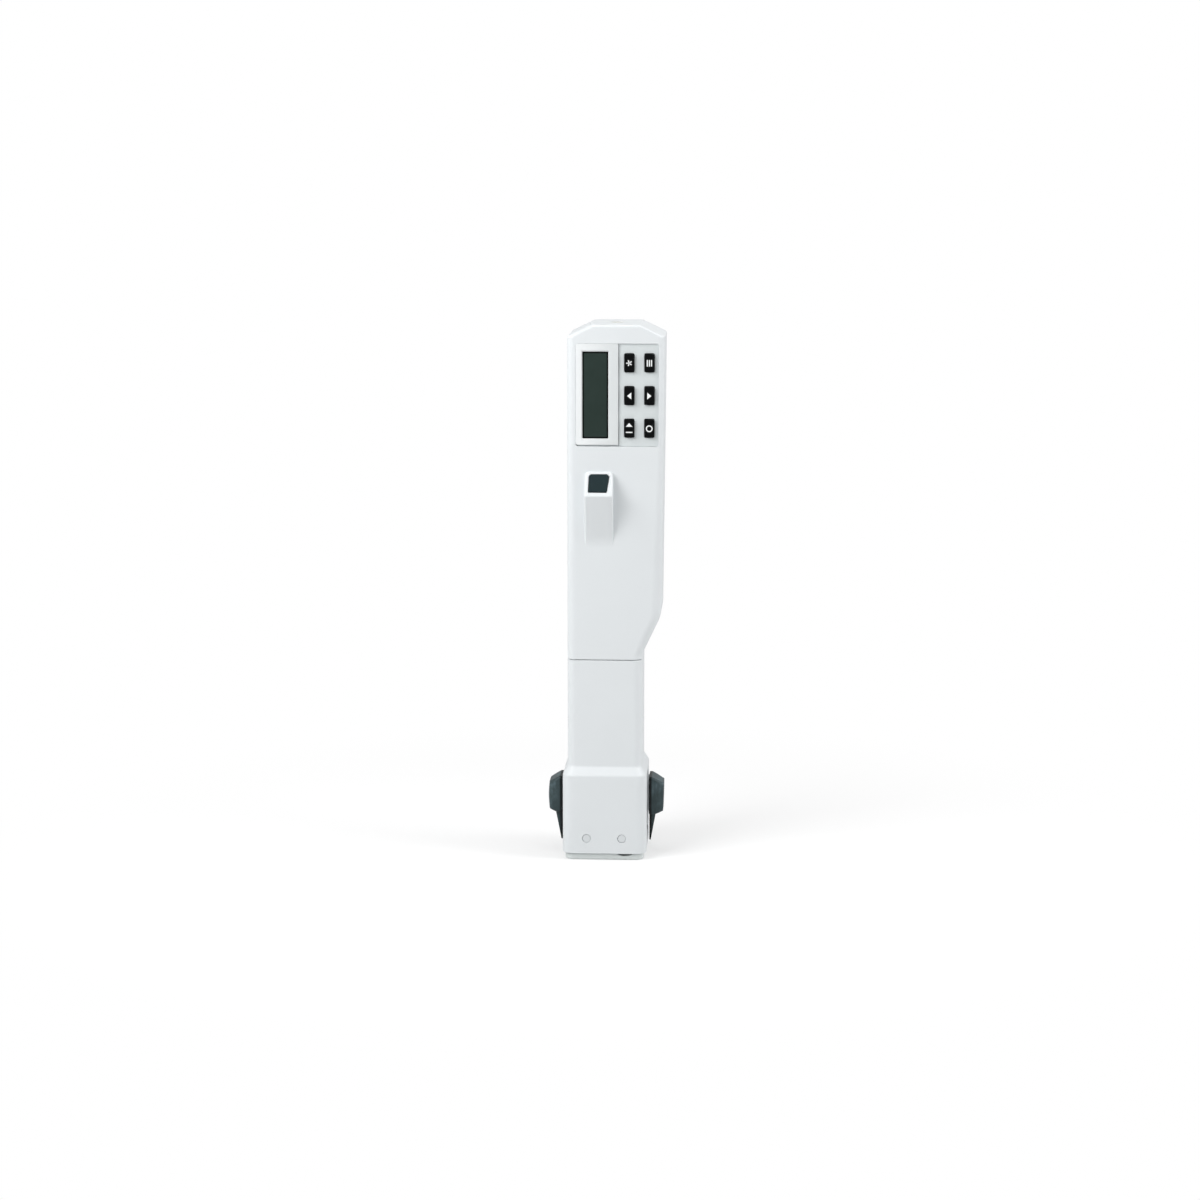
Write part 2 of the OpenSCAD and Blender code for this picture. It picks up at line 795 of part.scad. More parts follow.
module keypad_plate() {
    color([0.8, 0.83, 0.84])
        difference() {
            plate_y_facing(
                [panel_x1 + slip_gap / 2, recess_x1 - slip_gap], [plate_y, recess_floor_y],
                [recess_z0 + slip_gap, recess_z1 - slip_gap], recess_edge_r
            );
            key_holes(move_gap, plate_y - over, recess_floor_y + over);
        }
}

// A key in the given column and row: a crowned cap with a flange behind the shell.
module keypad_key(column, row) {
    x = key_x + column * key_pitch_x;
    z = key_z + row * key_pitch_z;
    cap_t = key_flange_y - key_front_y;
    levels = [
        [-sink / 2, 0], [cap_t - 2 * key_crown, 0],
        [cap_t - key_crown / 3, key_crown / 3], [cap_t, key_crown]
    ];
    color([0.1, 0.12, 0.13]) {
        translate([x, key_flange_y, z])
            rotate([90, 0, 0])
                loft([for (s = levels)
                    even_ring(s[0], key_w / 2 - s[1], key_h / 2 - s[1], key_edge_r, small_steps)]);
        block(
            [x - key_w / 2 - key_flange, x + key_w / 2 + key_flange],
            [key_flange_y, key_flange_y + key_flange_t],
            [z - key_h / 2 - key_flange, z + key_h / 2 + key_flange]
        );
    }
}

module key_star() { keypad_key(-0.5, 1); }
module key_menu() { keypad_key(0.5, 1); }
module key_back() { keypad_key(-0.5, 0); }
module key_next() { keypad_key(0.5, 0); }
module key_step() { keypad_key(-0.5, -1); }
module key_ring() { keypad_key(0.5, -1); }

// A silicone mat with one switch dome behind each key.
module keypad_mat() {
    dome_y = key_flange_y + key_flange_t + key_travel + dome_gap;
    color([0.75, 0.75, 0.72]) {
        block(
            [key_x - key_pitch_x / 2 - key_w, key_x + key_pitch_x / 2 + key_w / 2 + 1],
            [mat_y, mat_y + mat_t],
            [key_z - key_pitch_z - key_h / 2, key_z + key_pitch_z + key_h / 2]
        );
        for (column = [-0.5, 0.5], row = [-1:1])
            rod_y(key_x + column * key_pitch_x, key_z + row * key_pitch_z, dome_r, dome_y, mat_y + mat_t / 2);
    }
}

module main_board() {
    color(board_colour)
        difference() {
            block([board_x0, board_x1], [board_y, board_y + board_t], [board_z0, board_z1]);
            board_screw_holes(case_boss_r + 0.3, board_y - over, board_y + board_t + over);
        }
}

// Chips and connectors on the main board's rear face: x, z, width, height, thickness.
module board_components() {
    parts = [
        [2, board_z1 - 17, 10, 10, 1.4], [-10, board_z1 - 13, 5, 8, 1.8],
        [4, board_z1 - 35, 7, 5, 1.2], [-9, board_z1 - 33, 4, 6, 1.6],
        [16, board_z0 + 8.5, 9, 6, 1.8], [-8, board_z0 + 6.5, 8, 5, 2]
    ];
    color([0.12, 0.12, 0.13])
        for (p = parts)
            block([p[0] - p[2] / 2, p[0] + p[2] / 2], [board_y + board_t, board_y + board_t + p[4]],
                [p[1] - p[3] / 2, p[1] + p[3] / 2]);
}

// ---------------------------------------------------------------- dispensing key

module dispensing_key() {
    under = trigger_t - trigger_proud;
    crown = 0.5;
    color([0.17, 0.21, 0.23]) {
        difference() {
            at_trigger(under)
                linear_extrude(trigger_t - crown)
                    trigger_outline(0);
            at_trigger(under + over)
                cylinder(r = spring_seat_r, h = under - 0.8 + over);
        }
        at_trigger(under)
            translate([0, 0, trigger_t - crown])
                linear_extrude(crown)
                    trigger_outline(-0.3);
        at_trigger(stem_end + stem_clip_t)
            cylinder(r = stem_r, h = stem_end + stem_clip_t);
        at_trigger(stem_end + stem_clip_t)
            cylinder(r = stem_clip_r, h = stem_clip_t - run_gap);
    }
}

module dispensing_key_spring() {
    wire_r = 0.3;
    color(steel_colour)
        at_trigger(pocket_depth + seat_depth - 0.1)
            coil(spring_seat_r - wire_r - 0.2, wire_r, pocket_depth + seat_depth - 1, 3);
}

// A tact switch on an angled carrier that stands on the main board.
module key_switch() {
    button_r = 1.6;
    switch_under = 8.3;
    switch_above = 3.7;
    color([0.15, 0.15, 0.16]) {
        difference() {
            block(
                [pod_x - switch_w / 2, pod_x + switch_w / 2], [-inner_y + over, board_y],
                [switch_z - switch_under, switch_z + switch_above]
            );
            at_trigger(switch_face + 0.8)
                block([-bulk, bulk], [-bulk, bulk], [0, bulk]);
        }
        at_trigger(switch_face + 1.6)
            cylinder(r = button_r, h = 1.6);
    }
}

// ---------------------------------------------------------------- power

module battery_cells() {
    nub_r = 2.6;
    nub_h = 1.2;
    color([0.25, 0.4, 0.55])
        for (z = cell_z)
            translate([cell_x, cell_y, z]) {
                cylinder(r = cell_r, h = cell_l - nub_h);
                cylinder(r = nub_r, h = cell_l);
            }
}

// Two open troughs on one spine, which stand on the rear shell.
module battery_cradle() {
    x0 = cradle_x0;
    x1 = cell_x + 4;
    y1 = inner_y - cradle_gap;
    color(dark_colour)
        difference() {
            union() {
                for (z = cell_z)
                    block([x0, x1], [cradle_y, y1], [z - cradle_end, z + cell_l + cradle_end]);
                block([x0, x0 + cradle_wall], [cradle_y, y1], cell_z);
            }
            for (z = cell_z)
                translate([cell_x, cell_y, z - contact_t])
                    cylinder(r = cell_r + cradle_gap, h = cell_l + 2 * contact_t);
            for (z = cell_z)
                block([x0 + cradle_wall, x1 + over], [cell_y + cell_r + 1, bulk], [z + 4, z + cell_l - 4]);
        }
}

module battery_contacts() {
    contact_r = 5;
    color([0.8, 0.7, 0.4])
        for (z = cell_z, end = [-contact_t, cell_l])
            translate([cell_x, cell_y, z + end])
                cylinder(r = contact_r, h = contact_t);
}

module charging_socket() {
    body_top = top_z - wall;
    color([0.13, 0.14, 0.15])
        difference() {
            union() {
                block(
                    [jack_x - jack_body_w / 2, jack_x + jack_body_w / 2], [-jack_body_w / 2, jack_body_w / 2],
                    [body_top - jack_body_h, body_top]
                );
                translate([jack_x, 0, body_top - over])
                    cylinder(r = jack_neck_r, h = wall + over - 0.1);
            }
            translate([jack_x, 0, top_z - 0.1 - jack_depth])
                cylinder(r = jack_r, h = jack_depth + over);
        }
}

// ---------------------------------------------------------------- drive

module motor() {
    z0 = bearing_plate_z + bearing_plate_t + gearbox_l;
    cap_h = 3;
    color(steel_colour)
        translate([0, 0, z0]) {
            cylinder(r = motor_r, h = motor_l - cap_h);
            cylinder(r = motor_r - 1.2, h = motor_l);
        }
}

module gearbox() {
    color([0.62, 0.63, 0.6])
        translate([0, 0, bearing_plate_z + bearing_plate_t])
            difference() {
                cylinder(r = motor_r, h = gearbox_l);
                translate([0, 0, -over])
                    cylinder(r = journal_r + run_gap, h = journal_l - bearing_plate_t + 0.5 + over);
            }
}

// A plate across the inside of a shell, with cut corners and the rods' holes.
module cross_plate(z, t) {
    x = inner_x - slip_gap;
    y = inner_y - slip_gap;
    translate([0, 0, z])
        linear_extrude(t)
            difference() {
                polygon([
                    [-x + plate_clip, -y], [x - plate_clip, -y], [x, -y + plate_clip], [x, y - plate_clip],
                    [x - plate_clip, y], [-x + plate_clip, y], [-x, y - plate_clip], [-x, -y + plate_clip]
                ]);
                for (side = [-1, 1])
                    translate([0, side * rod_y])
                        circle(r = rod_r);
            }
}

module bearing_plate() {
    color([0.66, 0.67, 0.69])
        difference() {
            cross_plate(bearing_plate_z, bearing_plate_t);
            translate([0, 0, bearing_plate_z - over])
                cylinder(r = bearing_r, h = bearing_t + over);
            translate([0, 0, bearing_plate_z])
                cylinder(r = journal_r + 1, h = bearing_plate_t + over);
            block(
                [cradle_x0 - 0.2, bulk], [cell_y - cell_r - 0.3, bulk],
                [bearing_plate_z - over, bearing_plate_z + bearing_plate_t + over]
            );
        }
}

module screw_bearing() {
    color(steel_colour)
        translate([0, 0, bearing_plate_z])
            difference() {
                cylinder(r = bearing_r, h = bearing_t);
                translate([0, 0, -over])
                    cylinder(r = journal_r + run_gap, h = bearing_t + 2 * over);
            }
}

module lead_screw() {
    collar = 0.2;
    color([0.78, 0.78, 0.8]) {
        translate([0, 0, screw_foot_z])
            cylinder(r = screw_r, h = bearing_plate_z - collar - screw_foot_z);
        translate([0, 0, bearing_plate_z - over])
            cylinder(r = journal_r, h = journal_l + over);
    }
}

// The nut on the lead screw, with an ear on each guide rod.
module drive_nut() {
    ear_r = rod_r + 1.7;
    ear_t = 5;
    color(cream_colour)
        translate([0, 0, nut_z])
            difference() {
                union() {
                    cylinder(r = nut_r, h = nut_h);
                    for (side = [-1, 1]) {
                        translate([0, side * rod_y, nut_h - ear_t])
                            cylinder(r = ear_r, h = ear_t);
                        block([-2, 2], side > 0 ? [0, rod_y] : [-rod_y, 0], [nut_h - ear_t, nut_h]);
                    }
                }
                translate([0, 0, -over])
                    cylinder(r = screw_r + run_gap, h = nut_h + 2 * over);
                translate([0, 0, -over])
                    cylinder(r = ram_r, h = nut_h - 2 + over);
                for (side = [-1, 1])
                    translate([0, side * rod_y, -over])
                        cylinder(r = rod_r + run_gap, h = nut_h + 2 * over);
            }
}

module piston_ram() {
    color(steel_colour)
        translate([0, 0, ram_z])
            difference() {
                cylinder(r = ram_r, h = ram_top_z - ram_z);
                translate([0, 0, ram_floor_t])
                    cylinder(r = ram_bore_r, h = ram_top_z - ram_z);
            }
}

// A slit collet that takes the head of the tip's plunger.
module plunger_gripper() {
    color(cream_colour)
        translate([0, 0, gripper_z])
            difference() {
                cylinder(r = ram_r, h = gripper_h);
                translate([0, 0, -over])
                    cylinder(r = gripper_bore_r, h = gripper_h - 2 + over);
                for (a = [0, 90])
                    rotate([0, 0, a])
                        block(
                            [-ram_r - over, ram_r + over], [-gripper_slit / 2, gripper_slit / 2],
                            [-over, gripper_h - 4]
                        );
            }
}

module guide_rods() {
    z0 = lower_plate_z;
    color(steel_colour)
        for (side = [-1, 1])
            translate([0, side * rod_y, z0])
                cylinder(r = rod_r, h = bearing_plate_z + bearing_plate_t - z0);
}

module lower_guide_plate() {
    color([0.66, 0.67, 0.69])
        difference() {
            cross_plate(lower_plate_z, lower_plate_t);
            translate([0, 0, lower_plate_z - over])
                cylinder(r = ram_r + run_gap, h = lower_plate_t + 2 * over);
        }
}

// ---------------------------------------------------------------- lower housing

module lower_outer() {
    loft([
        even_ring(block_z, block_half, block_d / 2, block_edge_r),
        even_ring(flare_z, block_half, block_d / 2, block_edge_r),
        even_ring(flare_z + flare_h, grip_half, grip_d / 2, grip_edge_r),
        even_ring(lower_top_z, grip_half, grip_d / 2, grip_edge_r)
    ]);
}

module lower_inner() {
    inset = wall + slip_gap + collar_t;
    loft([
        even_ring(block_z - over, block_inner_x, block_inner_y, block_edge_r - wall),
        even_ring(flare_z, block_inner_x, block_inner_y, block_edge_r - wall),
        even_ring(flare_z + flare_h, inner_x, inner_y, grip_edge_r - wall),
        even_ring(lower_top_z - 4, inner_x, inner_y, grip_edge_r - wall),
        even_ring(lower_top_z - 2, grip_half - inset, grip_d / 2 - inset, min_edge_r),
        even_ring(head_z + collar_h + over, grip_half - inset, grip_d / 2 - inset, min_edge_r)
    ]);
}

module lower_housing() {
    spigot = wall + slip_gap;
    color(shell_colour)
        difference() {
            union() {
                difference() {
                    union() {
                        lower_outer();
                        loft([for (z = [lower_top_z - 1, head_z + collar_h])
                            even_ring(z, grip_half - spigot, grip_d / 2 - spigot, grip_edge_r - wall)]);
                    }
                    lower_inner();
                }
                for (side = [-1, 1])
                    plate_ledges(lower_plate_z, side, inner_y);
            }
            for (side = [-1, 1]) {
                rod_y(
                    side * pivot_x, pivot_z, pin_head_r + pin_hole_gap,
                    block_front_y - over, -block_inner_y + over
                );
                translate([side * (block_half - wall / 2), 0, (slot_z0 + slot_z1) / 2])
                    cube([wall + 2 * over, pad_w + 2 * slot_gap, slot_z1 - slot_z0], center = true);
            }
        }
}

module base_ring() {
    x = block_half - ring_inset;
    y = block_d / 2 - ring_inset;
    color([0.83, 0.85, 0.86])
        difference() {
            loft([for (s = [[0, 0.3], [0.3, 0], [ring_h, 0]])
                even_ring(s[0], x - s[1], y - s[1], block_edge_r - ring_inset)]);
            translate([0, 0, -over])
                cylinder(r = ring_hole_r, h = ring_h + 2 * over);
            block(
                [-hook_x1 - 2, hook_x1 + 2], [-hook_w / 2 - hook_gap, hook_w / 2 + hook_gap],
                [-over, ring_h + over]
            );
            block(ring_notch, [-y - over, -y + 1.5], [ring_h - 0.9, ring_h + over]);
            for (a = [-1, 1], b = [-1, 1])
                translate([a * base_screw_x, b * base_screw_y, -over]) {
                    cylinder(r = base_screw_r + 0.2, h = ring_h + 2 * over);
                    cylinder(r = base_head_r + 0.2, h = base_head_sink + base_head_t + over);
                }
        }
}

module base_screws() {
    color(steel_colour)
        for (a = [-1, 1], b = [-1, 1])
            translate([a * base_screw_x, b * base_screw_y, base_head_sink]) {
                cylinder(r = base_head_r, h = base_head_t);
                cylinder(r = base_screw_r, h = ring_h + base_screw_l);
            }
}

// ---------------------------------------------------------------- tip holder and levers

// The room that one lever needs inside the holder.
module lever_room() {
    gap = 0.3;
    outside = block_w;
    for (side = [-1, 1])
        block(
            [pivot_x - eye_r - gap, outside],
            side > 0 ? [eye_y0 - gap, eye_y1 + gap] : [-eye_y1 - gap, gap - eye_y0],
            [pivot_z - eye_r - gap, holder_top_z + over]
        );
    block([pivot_x + pin_r + 0.4, outside], [-eye_y0, eye_y0], [pivot_z - eye_r - gap, holder_top_z + over]);
    block(
        [hook_x0 - 0.2, outside], [-hook_w / 2 - hook_gap, hook_w / 2 + hook_gap],
        [holder_z - over, pivot_z]
    );
}

module tip_holder() {
    color([0.3, 0.32, 0.33])
        difference() {
            union() {
                loft([for (z = [holder_z, holder_top_z])
                    even_ring(z, holder_half_x, holder_half_y, block_edge_r - wall)]);
                translate([0, 0, holder_top_z - over])
                    cylinder(r = sleeve_r, h = sleeve_top_z - holder_top_z + over);
                for (side = [-1, 1])
                    translate([side * throat_r, 0, spring_z])
                        rotate([0, side * 90, 0])
                            cylinder(r = spring_boss_r, h = spring_boss_x - throat_r);
            }
            translate([0, 0, holder_z - over])
                cylinder(r = socket_r, h = socket_top_z - holder_z + over);
            cylinder(r = throat_r, h = sleeve_top_z + over);
            for (side = [-1, 1])
                rod_y(side * pivot_x, pivot_z, pin_r, -bulk, bulk);
            lever_room();
            mirror([1, 0, 0])
                lever_room();
            for (a = [-1, 1], b = [-1, 1])
                translate([a * base_screw_x, b * base_screw_y, holder_z - over])
                    cylinder(r = base_screw_r, h = base_screw_l + 1 + over);
        }
}

// Senses which tip is fitted: a small board on each side of the sleeve.
module tip_sensor_board() {
    x = 7;
    y0 = sleeve_r + 1;
    y1 = eye_y1 + 5;
    color(board_colour)
        for (side = [-1, 1]) {
            block([-x, x], side > 0 ? [y0, y1] : [-y1, -y0], [holder_top_z, holder_top_z + board_thin]);
        }
}

module pivot_pins() {
    head_y0 = block_front_y + pin_head_sink;
    color(shell_colour)
        for (side = [-1, 1]) {
            rod_y(side * pivot_x, pivot_z, pin_head_r, head_y0, -holder_half_y);
            rod_y(side * pivot_x, pivot_z, pin_r, -holder_half_y - over, holder_half_y);
        }
}

// A rounded pad in the plane across X, used to hull the thumb pad.
module pad_slice(x, half_y, z0, z1, r) {
    for (y = [-half_y + r, half_y - r], z = [z0 + r, z1 - r])
        translate([x, y, z])
            rotate([0, 90, 0])
                cylinder(r = r, h = 0.2, $fn = 24);
}

module thumb_pad() {
    face_z0 = pad_foot_z + 1.2;
    face_z1 = pad_top_z - 3;
    hull() {
        pad_slice(pad_x0, pad_w / 2, pad_foot_z, pad_top_z, 1.4);
        pad_slice(pad_x1 - 3.4, pad_w / 2, pad_foot_z + 0.2, pad_top_z - 1.2, 1.6);
        pad_slice(pad_x1 - 0.9, pad_w / 2 - 0.9, face_z0, face_z1, 1.8);
        pad_slice(pad_x1 - 0.2, pad_w / 2 - 2.6, face_z0 + 0.8, face_z1 - 0.8, 1.8);
    }
}

// The tail runs from under the pad back towards the block.
module lever_tail() {
    half_y = 4.5;
    hull() {
        block([pad_x0 + 0.8, pad_x1 - 3.4], [-half_y - 1, half_y + 1], [pad_foot_z - 0.2, pad_foot_z + 2]);
        block([pad_x0 + 0.1, pad_x0 + 1], [-half_y + 1, half_y - 1], [tail_tip_z, tail_tip_z + 1]);
    }
}

// One lever, as it stands on the right side.
module lever() {
    color([0.23, 0.26, 0.26])
        difference() {
            union() {
                for (side = [-1, 1]) {
                    eye = side > 0 ? [eye_y0, eye_y1] : [-eye_y1, -eye_y0];
                    rod_y(pivot_x, pivot_z, eye_r, eye[0], eye[1]);
                    block([pivot_x, link_x1], eye, [pivot_z - arm_t / 2, pivot_z + arm_t / 2]);
                }
                block([link_x0, link_x1], [-eye_y1, eye_y1], [pivot_z - arm_t / 2, pivot_z + arm_t]);
                block([link_x0, link_x1], [-pad_w / 2 + 0.4, pad_w / 2 - 0.4], [pivot_z, link_top_z]);
                block([link_x1 - sink, cover_x1], [-pad_w / 2, pad_w / 2], [slot_z0 + slot_gap, cover_top_z]);
                block(
                    [link_x0, pad_x0 + 0.5], [-pad_w / 2 + 0.8, pad_w / 2 - 0.8],
                    [pad_foot_z + 1.5, link_top_z - 0.6]
                );
                block([hook_x0, hook_x1], [-hook_w / 2, hook_w / 2], [hook_z0, pivot_z + arm_t / 2]);
                block(
                    [hook_x0, link_x1], [-hook_w / 2, hook_w / 2],
                    [pivot_z - arm_t / 2, pivot_z + arm_t / 2]
                );
                block(
                    [socket_r - hook_bite, hook_x1], [-hook_w / 2, hook_w / 2],
                    [hook_z0, hook_z0 + hook_t]
                );
                thumb_pad();
                lever_tail();
            }
            rod_y(pivot_x, pivot_z, pin_r + run_gap, -bulk, bulk);
        }
}

module release_lever_right() { lever(); }

module release_lever_left() {
    mirror([1, 0, 0])
        lever();
}

module lever_spring(side) {
    wire_r = 0.3;
    gap = 0.05;
    color(steel_colour)
        translate([side * (spring_boss_x + gap), 0, spring_z])
            rotate([0, side * 90, 0])
                coil(spring_boss_r - wire_r, wire_r, link_x0 - spring_boss_x - 2 * gap, 4);
}

module lever_spring_right() { lever_spring(1); }
module lever_spring_left() { lever_spring(-1); }

// ---------------------------------------------------------------- selection

front_shell();
rear_shell();
lower_housing();
base_ring();
display_panel();
display_window();
lcd_module();
keypad_plate();
key_star();
key_menu();
key_back();
key_next();
key_step();
key_ring();
keypad_mat();
main_board();
board_components();
dispensing_key();
dispensing_key_spring();
key_switch();
battery_cells();
battery_cradle();
battery_contacts();
charging_socket();
motor();
gearbox();
bearing_plate();
screw_bearing();
lead_screw();
drive_nut();
piston_ram();
plunger_gripper();
guide_rods();
lower_guide_plate();
tip_holder();
tip_sensor_board();
release_lever_right();
release_lever_left();
pivot_pins();
lever_spring_right();
lever_spring_left();
case_screws();
base_screws();
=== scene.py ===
# Looks of an electronic repeating pipette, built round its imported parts.
# Points are worked out in millimetres, in the parts' own frame: +Z is up and the front looks to -Y.

import math

import bpy
from mathutils import Matrix, Vector


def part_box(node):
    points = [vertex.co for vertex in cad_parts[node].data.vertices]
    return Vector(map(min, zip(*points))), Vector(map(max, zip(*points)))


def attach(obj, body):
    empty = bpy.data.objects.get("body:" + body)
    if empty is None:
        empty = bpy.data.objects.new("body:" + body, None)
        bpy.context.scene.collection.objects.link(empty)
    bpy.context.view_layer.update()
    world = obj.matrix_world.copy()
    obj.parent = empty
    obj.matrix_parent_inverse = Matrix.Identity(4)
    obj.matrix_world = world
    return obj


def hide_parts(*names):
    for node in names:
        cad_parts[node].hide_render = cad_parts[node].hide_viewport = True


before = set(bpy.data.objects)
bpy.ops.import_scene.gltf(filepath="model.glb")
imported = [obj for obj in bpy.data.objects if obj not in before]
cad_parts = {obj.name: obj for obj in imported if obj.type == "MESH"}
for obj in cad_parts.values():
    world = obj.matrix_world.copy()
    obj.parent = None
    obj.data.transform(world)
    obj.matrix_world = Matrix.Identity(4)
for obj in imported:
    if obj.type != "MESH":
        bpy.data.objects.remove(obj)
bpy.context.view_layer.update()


# ---------------------------------------------------------------- tip holder
# The block inside the foot that seats the flange of the dispensing tip, with the sleeve over it
# and a small sensor board on each side. The block is moulded in dark glass-filled plastic, and
# the boards are green circuit board, laid on its shoulders.

MM = 0.001


def span(node):
    """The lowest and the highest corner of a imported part, in millimetres."""
    low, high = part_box(node)
    return low / MM, high / MM


def linear(red, green, blue):
    """A colour as it is seen, from 0 to 255, turned into what a shader takes."""
    return tuple(
        c / 255 / 12.92 if c < 10 else ((c / 255 + 0.055) / 1.055) ** 2.4 for c in (red, green, blue)
    )


def tinted(colour, share=1.0):
    """A shader's colour, made darker or lighter, with its alpha."""
    return tuple(min(c * share, 1.0) for c in colour) + (1.0,)


class Wire:
    """A socket in a material's node tree. Operators on values add Math nodes."""

    def __init__(self, tree, socket=None):
        self.tree = tree
        self.socket = socket

    def node(self, kind, settings=None, sockets=None, output=0):
        """Adds a node: its settings first, then the values or wires of its sockets."""
        made = self.tree.nodes.new("ShaderNode" + kind)
        for name, value in (settings or {}).items():
            setattr(made, name, value)
        for name, value in (sockets or {}).items():
            if isinstance(value, Wire):
                self.tree.links.new(value.socket, made.inputs[name])
            else:
                made.inputs[name].default_value = value
        return Wire(self.tree, made.outputs[output])

    def math(self, operation, *values):
        return self.node("Math", {"operation": operation}, dict(enumerate(values)))

    def __add__(self, other):
        return self.math("ADD", self, other)

    def __sub__(self, other):
        return self.math("SUBTRACT", self, other)

    def __rsub__(self, other):
        return self.math("SUBTRACT", other, self)

    def __mul__(self, other):
        return self.math("MULTIPLY", self, other)

    __radd__ = __add__
    __rmul__ = __mul__

    def between(self, low, high):
        """0 below low and 1 above high, with a soft step between them."""
        sockets = {"Value": self, "From Min": low, "From Max": high}
        return self.node("MapRange", {"interpolation_type": "SMOOTHSTEP"}, sockets)

    def blend(self, low, high):
        """The colour low where this wire is 0, and high where it is 1."""
        return self.node("Mix", {"data_type": "RGBA"}, {"Factor": self, 6: low, 7: high}, output=2)

    def noise(self, place, size_mm, detail=2.0, roughness=0.5):
        sockets = {"Vector": place, "Scale": 1 / (size_mm * MM), "Detail": detail, "Roughness": roughness}
        return self.node("TexNoise", None, sockets)

    def stretched(self, place, x, y, z):
        return self.node("VectorMath", {"operation": "MULTIPLY"}, {0: place, 1: (x, y, z)})


def new_finish(name, **plain):
    """A material, its shader with the plain numbers set, and a wire to draw its pattern with."""
    made = bpy.data.materials.new(name)
    made.use_nodes = True
    shader = made.node_tree.nodes["Principled BSDF"]
    for socket, value in plain.items():
        shader.inputs[socket.replace("_", " ")].default_value = value
    return made, shader, Wire(made.node_tree)


def feed(shader, socket, wire):
    wire.tree.links.new(wire.socket, shader.inputs[socket])


def relief(wire, height, depth_mm):
    return wire.node("Bump", None, {"Height": height, "Distance": depth_mm * MM})


def moulded(name, colour, roughness=0.45, grain_mm=0.4, depth_mm=0.006, mottle=0.04, **plain):
    """Moulded plastic or rubber: a fine grain from the tool, and faint clouds in tone and gloss."""
    made, shader, wire = new_finish(name, **plain)
    place = wire.node("TexCoord", output=3)
    cloud = wire.noise(place, 14, detail=3)
    grain = wire.noise(place, grain_mm, detail=3, roughness=0.6)
    feed(shader, "Base Color", cloud.blend(tinted(colour, 1 - mottle), tinted(colour, 1 + mottle)))
    feed(shader, "Roughness", cloud * 0.08 + grain * 0.06 + (roughness - 0.07))
    feed(shader, "Normal", relief(wire, grain, depth_mm))
    return made


def circuit_board(name, colour):
    """Solder mask over copper tracks, which show through a little lighter and stand up a hair."""
    made, shader, wire = new_finish(name, IOR=1.5)
    place = wire.node("TexCoord", output=3)
    track = wire.node(
        "TexVoronoi", {"distance": "MANHATTAN", "feature": "F1"}, {"Vector": place, "Scale": 1 / (2.2 * MM)}
    ).between(0.42, 0.5)
    cloud = wire.noise(place, 9)
    feed(shader, "Base Color", track.blend(tinted(colour, 0.8), tinted(colour, 1.5)))
    feed(shader, "Roughness", cloud * 0.1 + 0.3)
    feed(shader, "Normal", relief(wire, track, 0.03))
    return made


def dress(finish, *nodes):
    """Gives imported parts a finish."""
    for name in nodes:
        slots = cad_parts[name].data.materials
        slots.clear()
        slots.append(finish)


dress(moulded("holder_plastic", linear(92, 97, 99), roughness=0.5), "tip_holder")
dress(circuit_board("green_board", linear(38, 92, 58)), "tip_sensor_board")


# ---------------------------------------------------------------- release levers
# Two levers that let go of the tip when both thumb pads are pressed: a dark grey-blue pad and
# tail, fixed to a light grey arm with a cover that fills the slot, eyes on a pivot pin and a
# hook under the tip's flange. A coil spring, in a pocket in each arm, holds the lever shut.

EYE_R = 2.6
EYE_Y = (7.5, 12.5)
ARM_HALF = 2.0
HOOK_HALF_Y = 3.2
HOOK_T = 1.2
HOOK_TIP_X, HOOK_BACK_X = 10.2, 15.0
HOOK_ROOM = 4.25
COVER_HALF_Y, COVER_FOOT = 7.2, 11.6
PLATE_HALF_Y = 6.8
STEM_HALF_Y = 5.6
PIN_HOLE_R = 1.3
SPRING_Z = 29.6
SPRING_ROOM_R, SPRING_ROOM = 3.8, 3.7


def solid(name, points, faces, place=Matrix()):
    """A closed mesh from points in millimetres, which the matrix puts in place."""
    mesh = bpy.data.meshes.new(name)
    mesh.from_pydata([(place @ Vector(p)) * MM for p in points], [], faces)
    made = bpy.data.objects.new(name, mesh)
    bpy.context.scene.collection.objects.link(made)
    return made


def stack(name, rings, place=Matrix()):
    """A solid skinned over rings that run anticlockwise, the lowest first."""
    count = len(rings[0])
    top = (len(rings) - 1) * count
    faces = [list(range(count - 1, -1, -1)), list(range(top, top + count))]
    for k in range(0, top, count):
        for i in range(count):
            j = (i + 1) % count
            faces.append([k + i, k + j, k + j + count, k + i + count])
    return solid(name, [p for ring in rings for p in ring], faces, place)


def arc(x, y, radius, start, steps):
    """A quarter of a circle, from the given angle on."""
    angles = [math.radians(start + 90 * i / steps) for i in range(steps + 1)]
    return [(x + radius * math.cos(a), y + radius * math.sin(a)) for a in angles]


def rounded(x0, x1, y0, y1, left_r, right_r=None, steps=9):
    """The outline of a rectangle with round corners, with its own radius at each side."""
    right_r = left_r if right_r is None else right_r
    return (
        arc(x1 - right_r, y0 + right_r, right_r, -90, steps)
        + arc(x1 - right_r, y1 - right_r, right_r, 0, steps)
        + arc(x0 + left_r, y1 - left_r, left_r, 90, steps)
        + arc(x0 + left_r, y0 + left_r, left_r, 180, steps)
    )


def at_level(outline, z):
    return [(x, y, z) for x, y in outline]


def prism(name, outline, z0, z1, place=Matrix()):
    return stack(name, [at_level(outline, z0), at_level(outline, z1)], place)


def block(x, y, z):
    return prism("block", [(x[0], y[0]), (x[1], y[0]), (x[1], y[1]), (x[0], y[1])], z[0], z[1])


FORWARD = Matrix.Rotation(math.radians(90), 4, "X")   # what stood along Z now looks to the front
OUTWARD = Matrix(((0, 0, 1, 0), (1, 0, 0, 0), (0, 1, 0, 0), (0, 0, 0, 1)))  # X, Y, Z become Y, Z, X


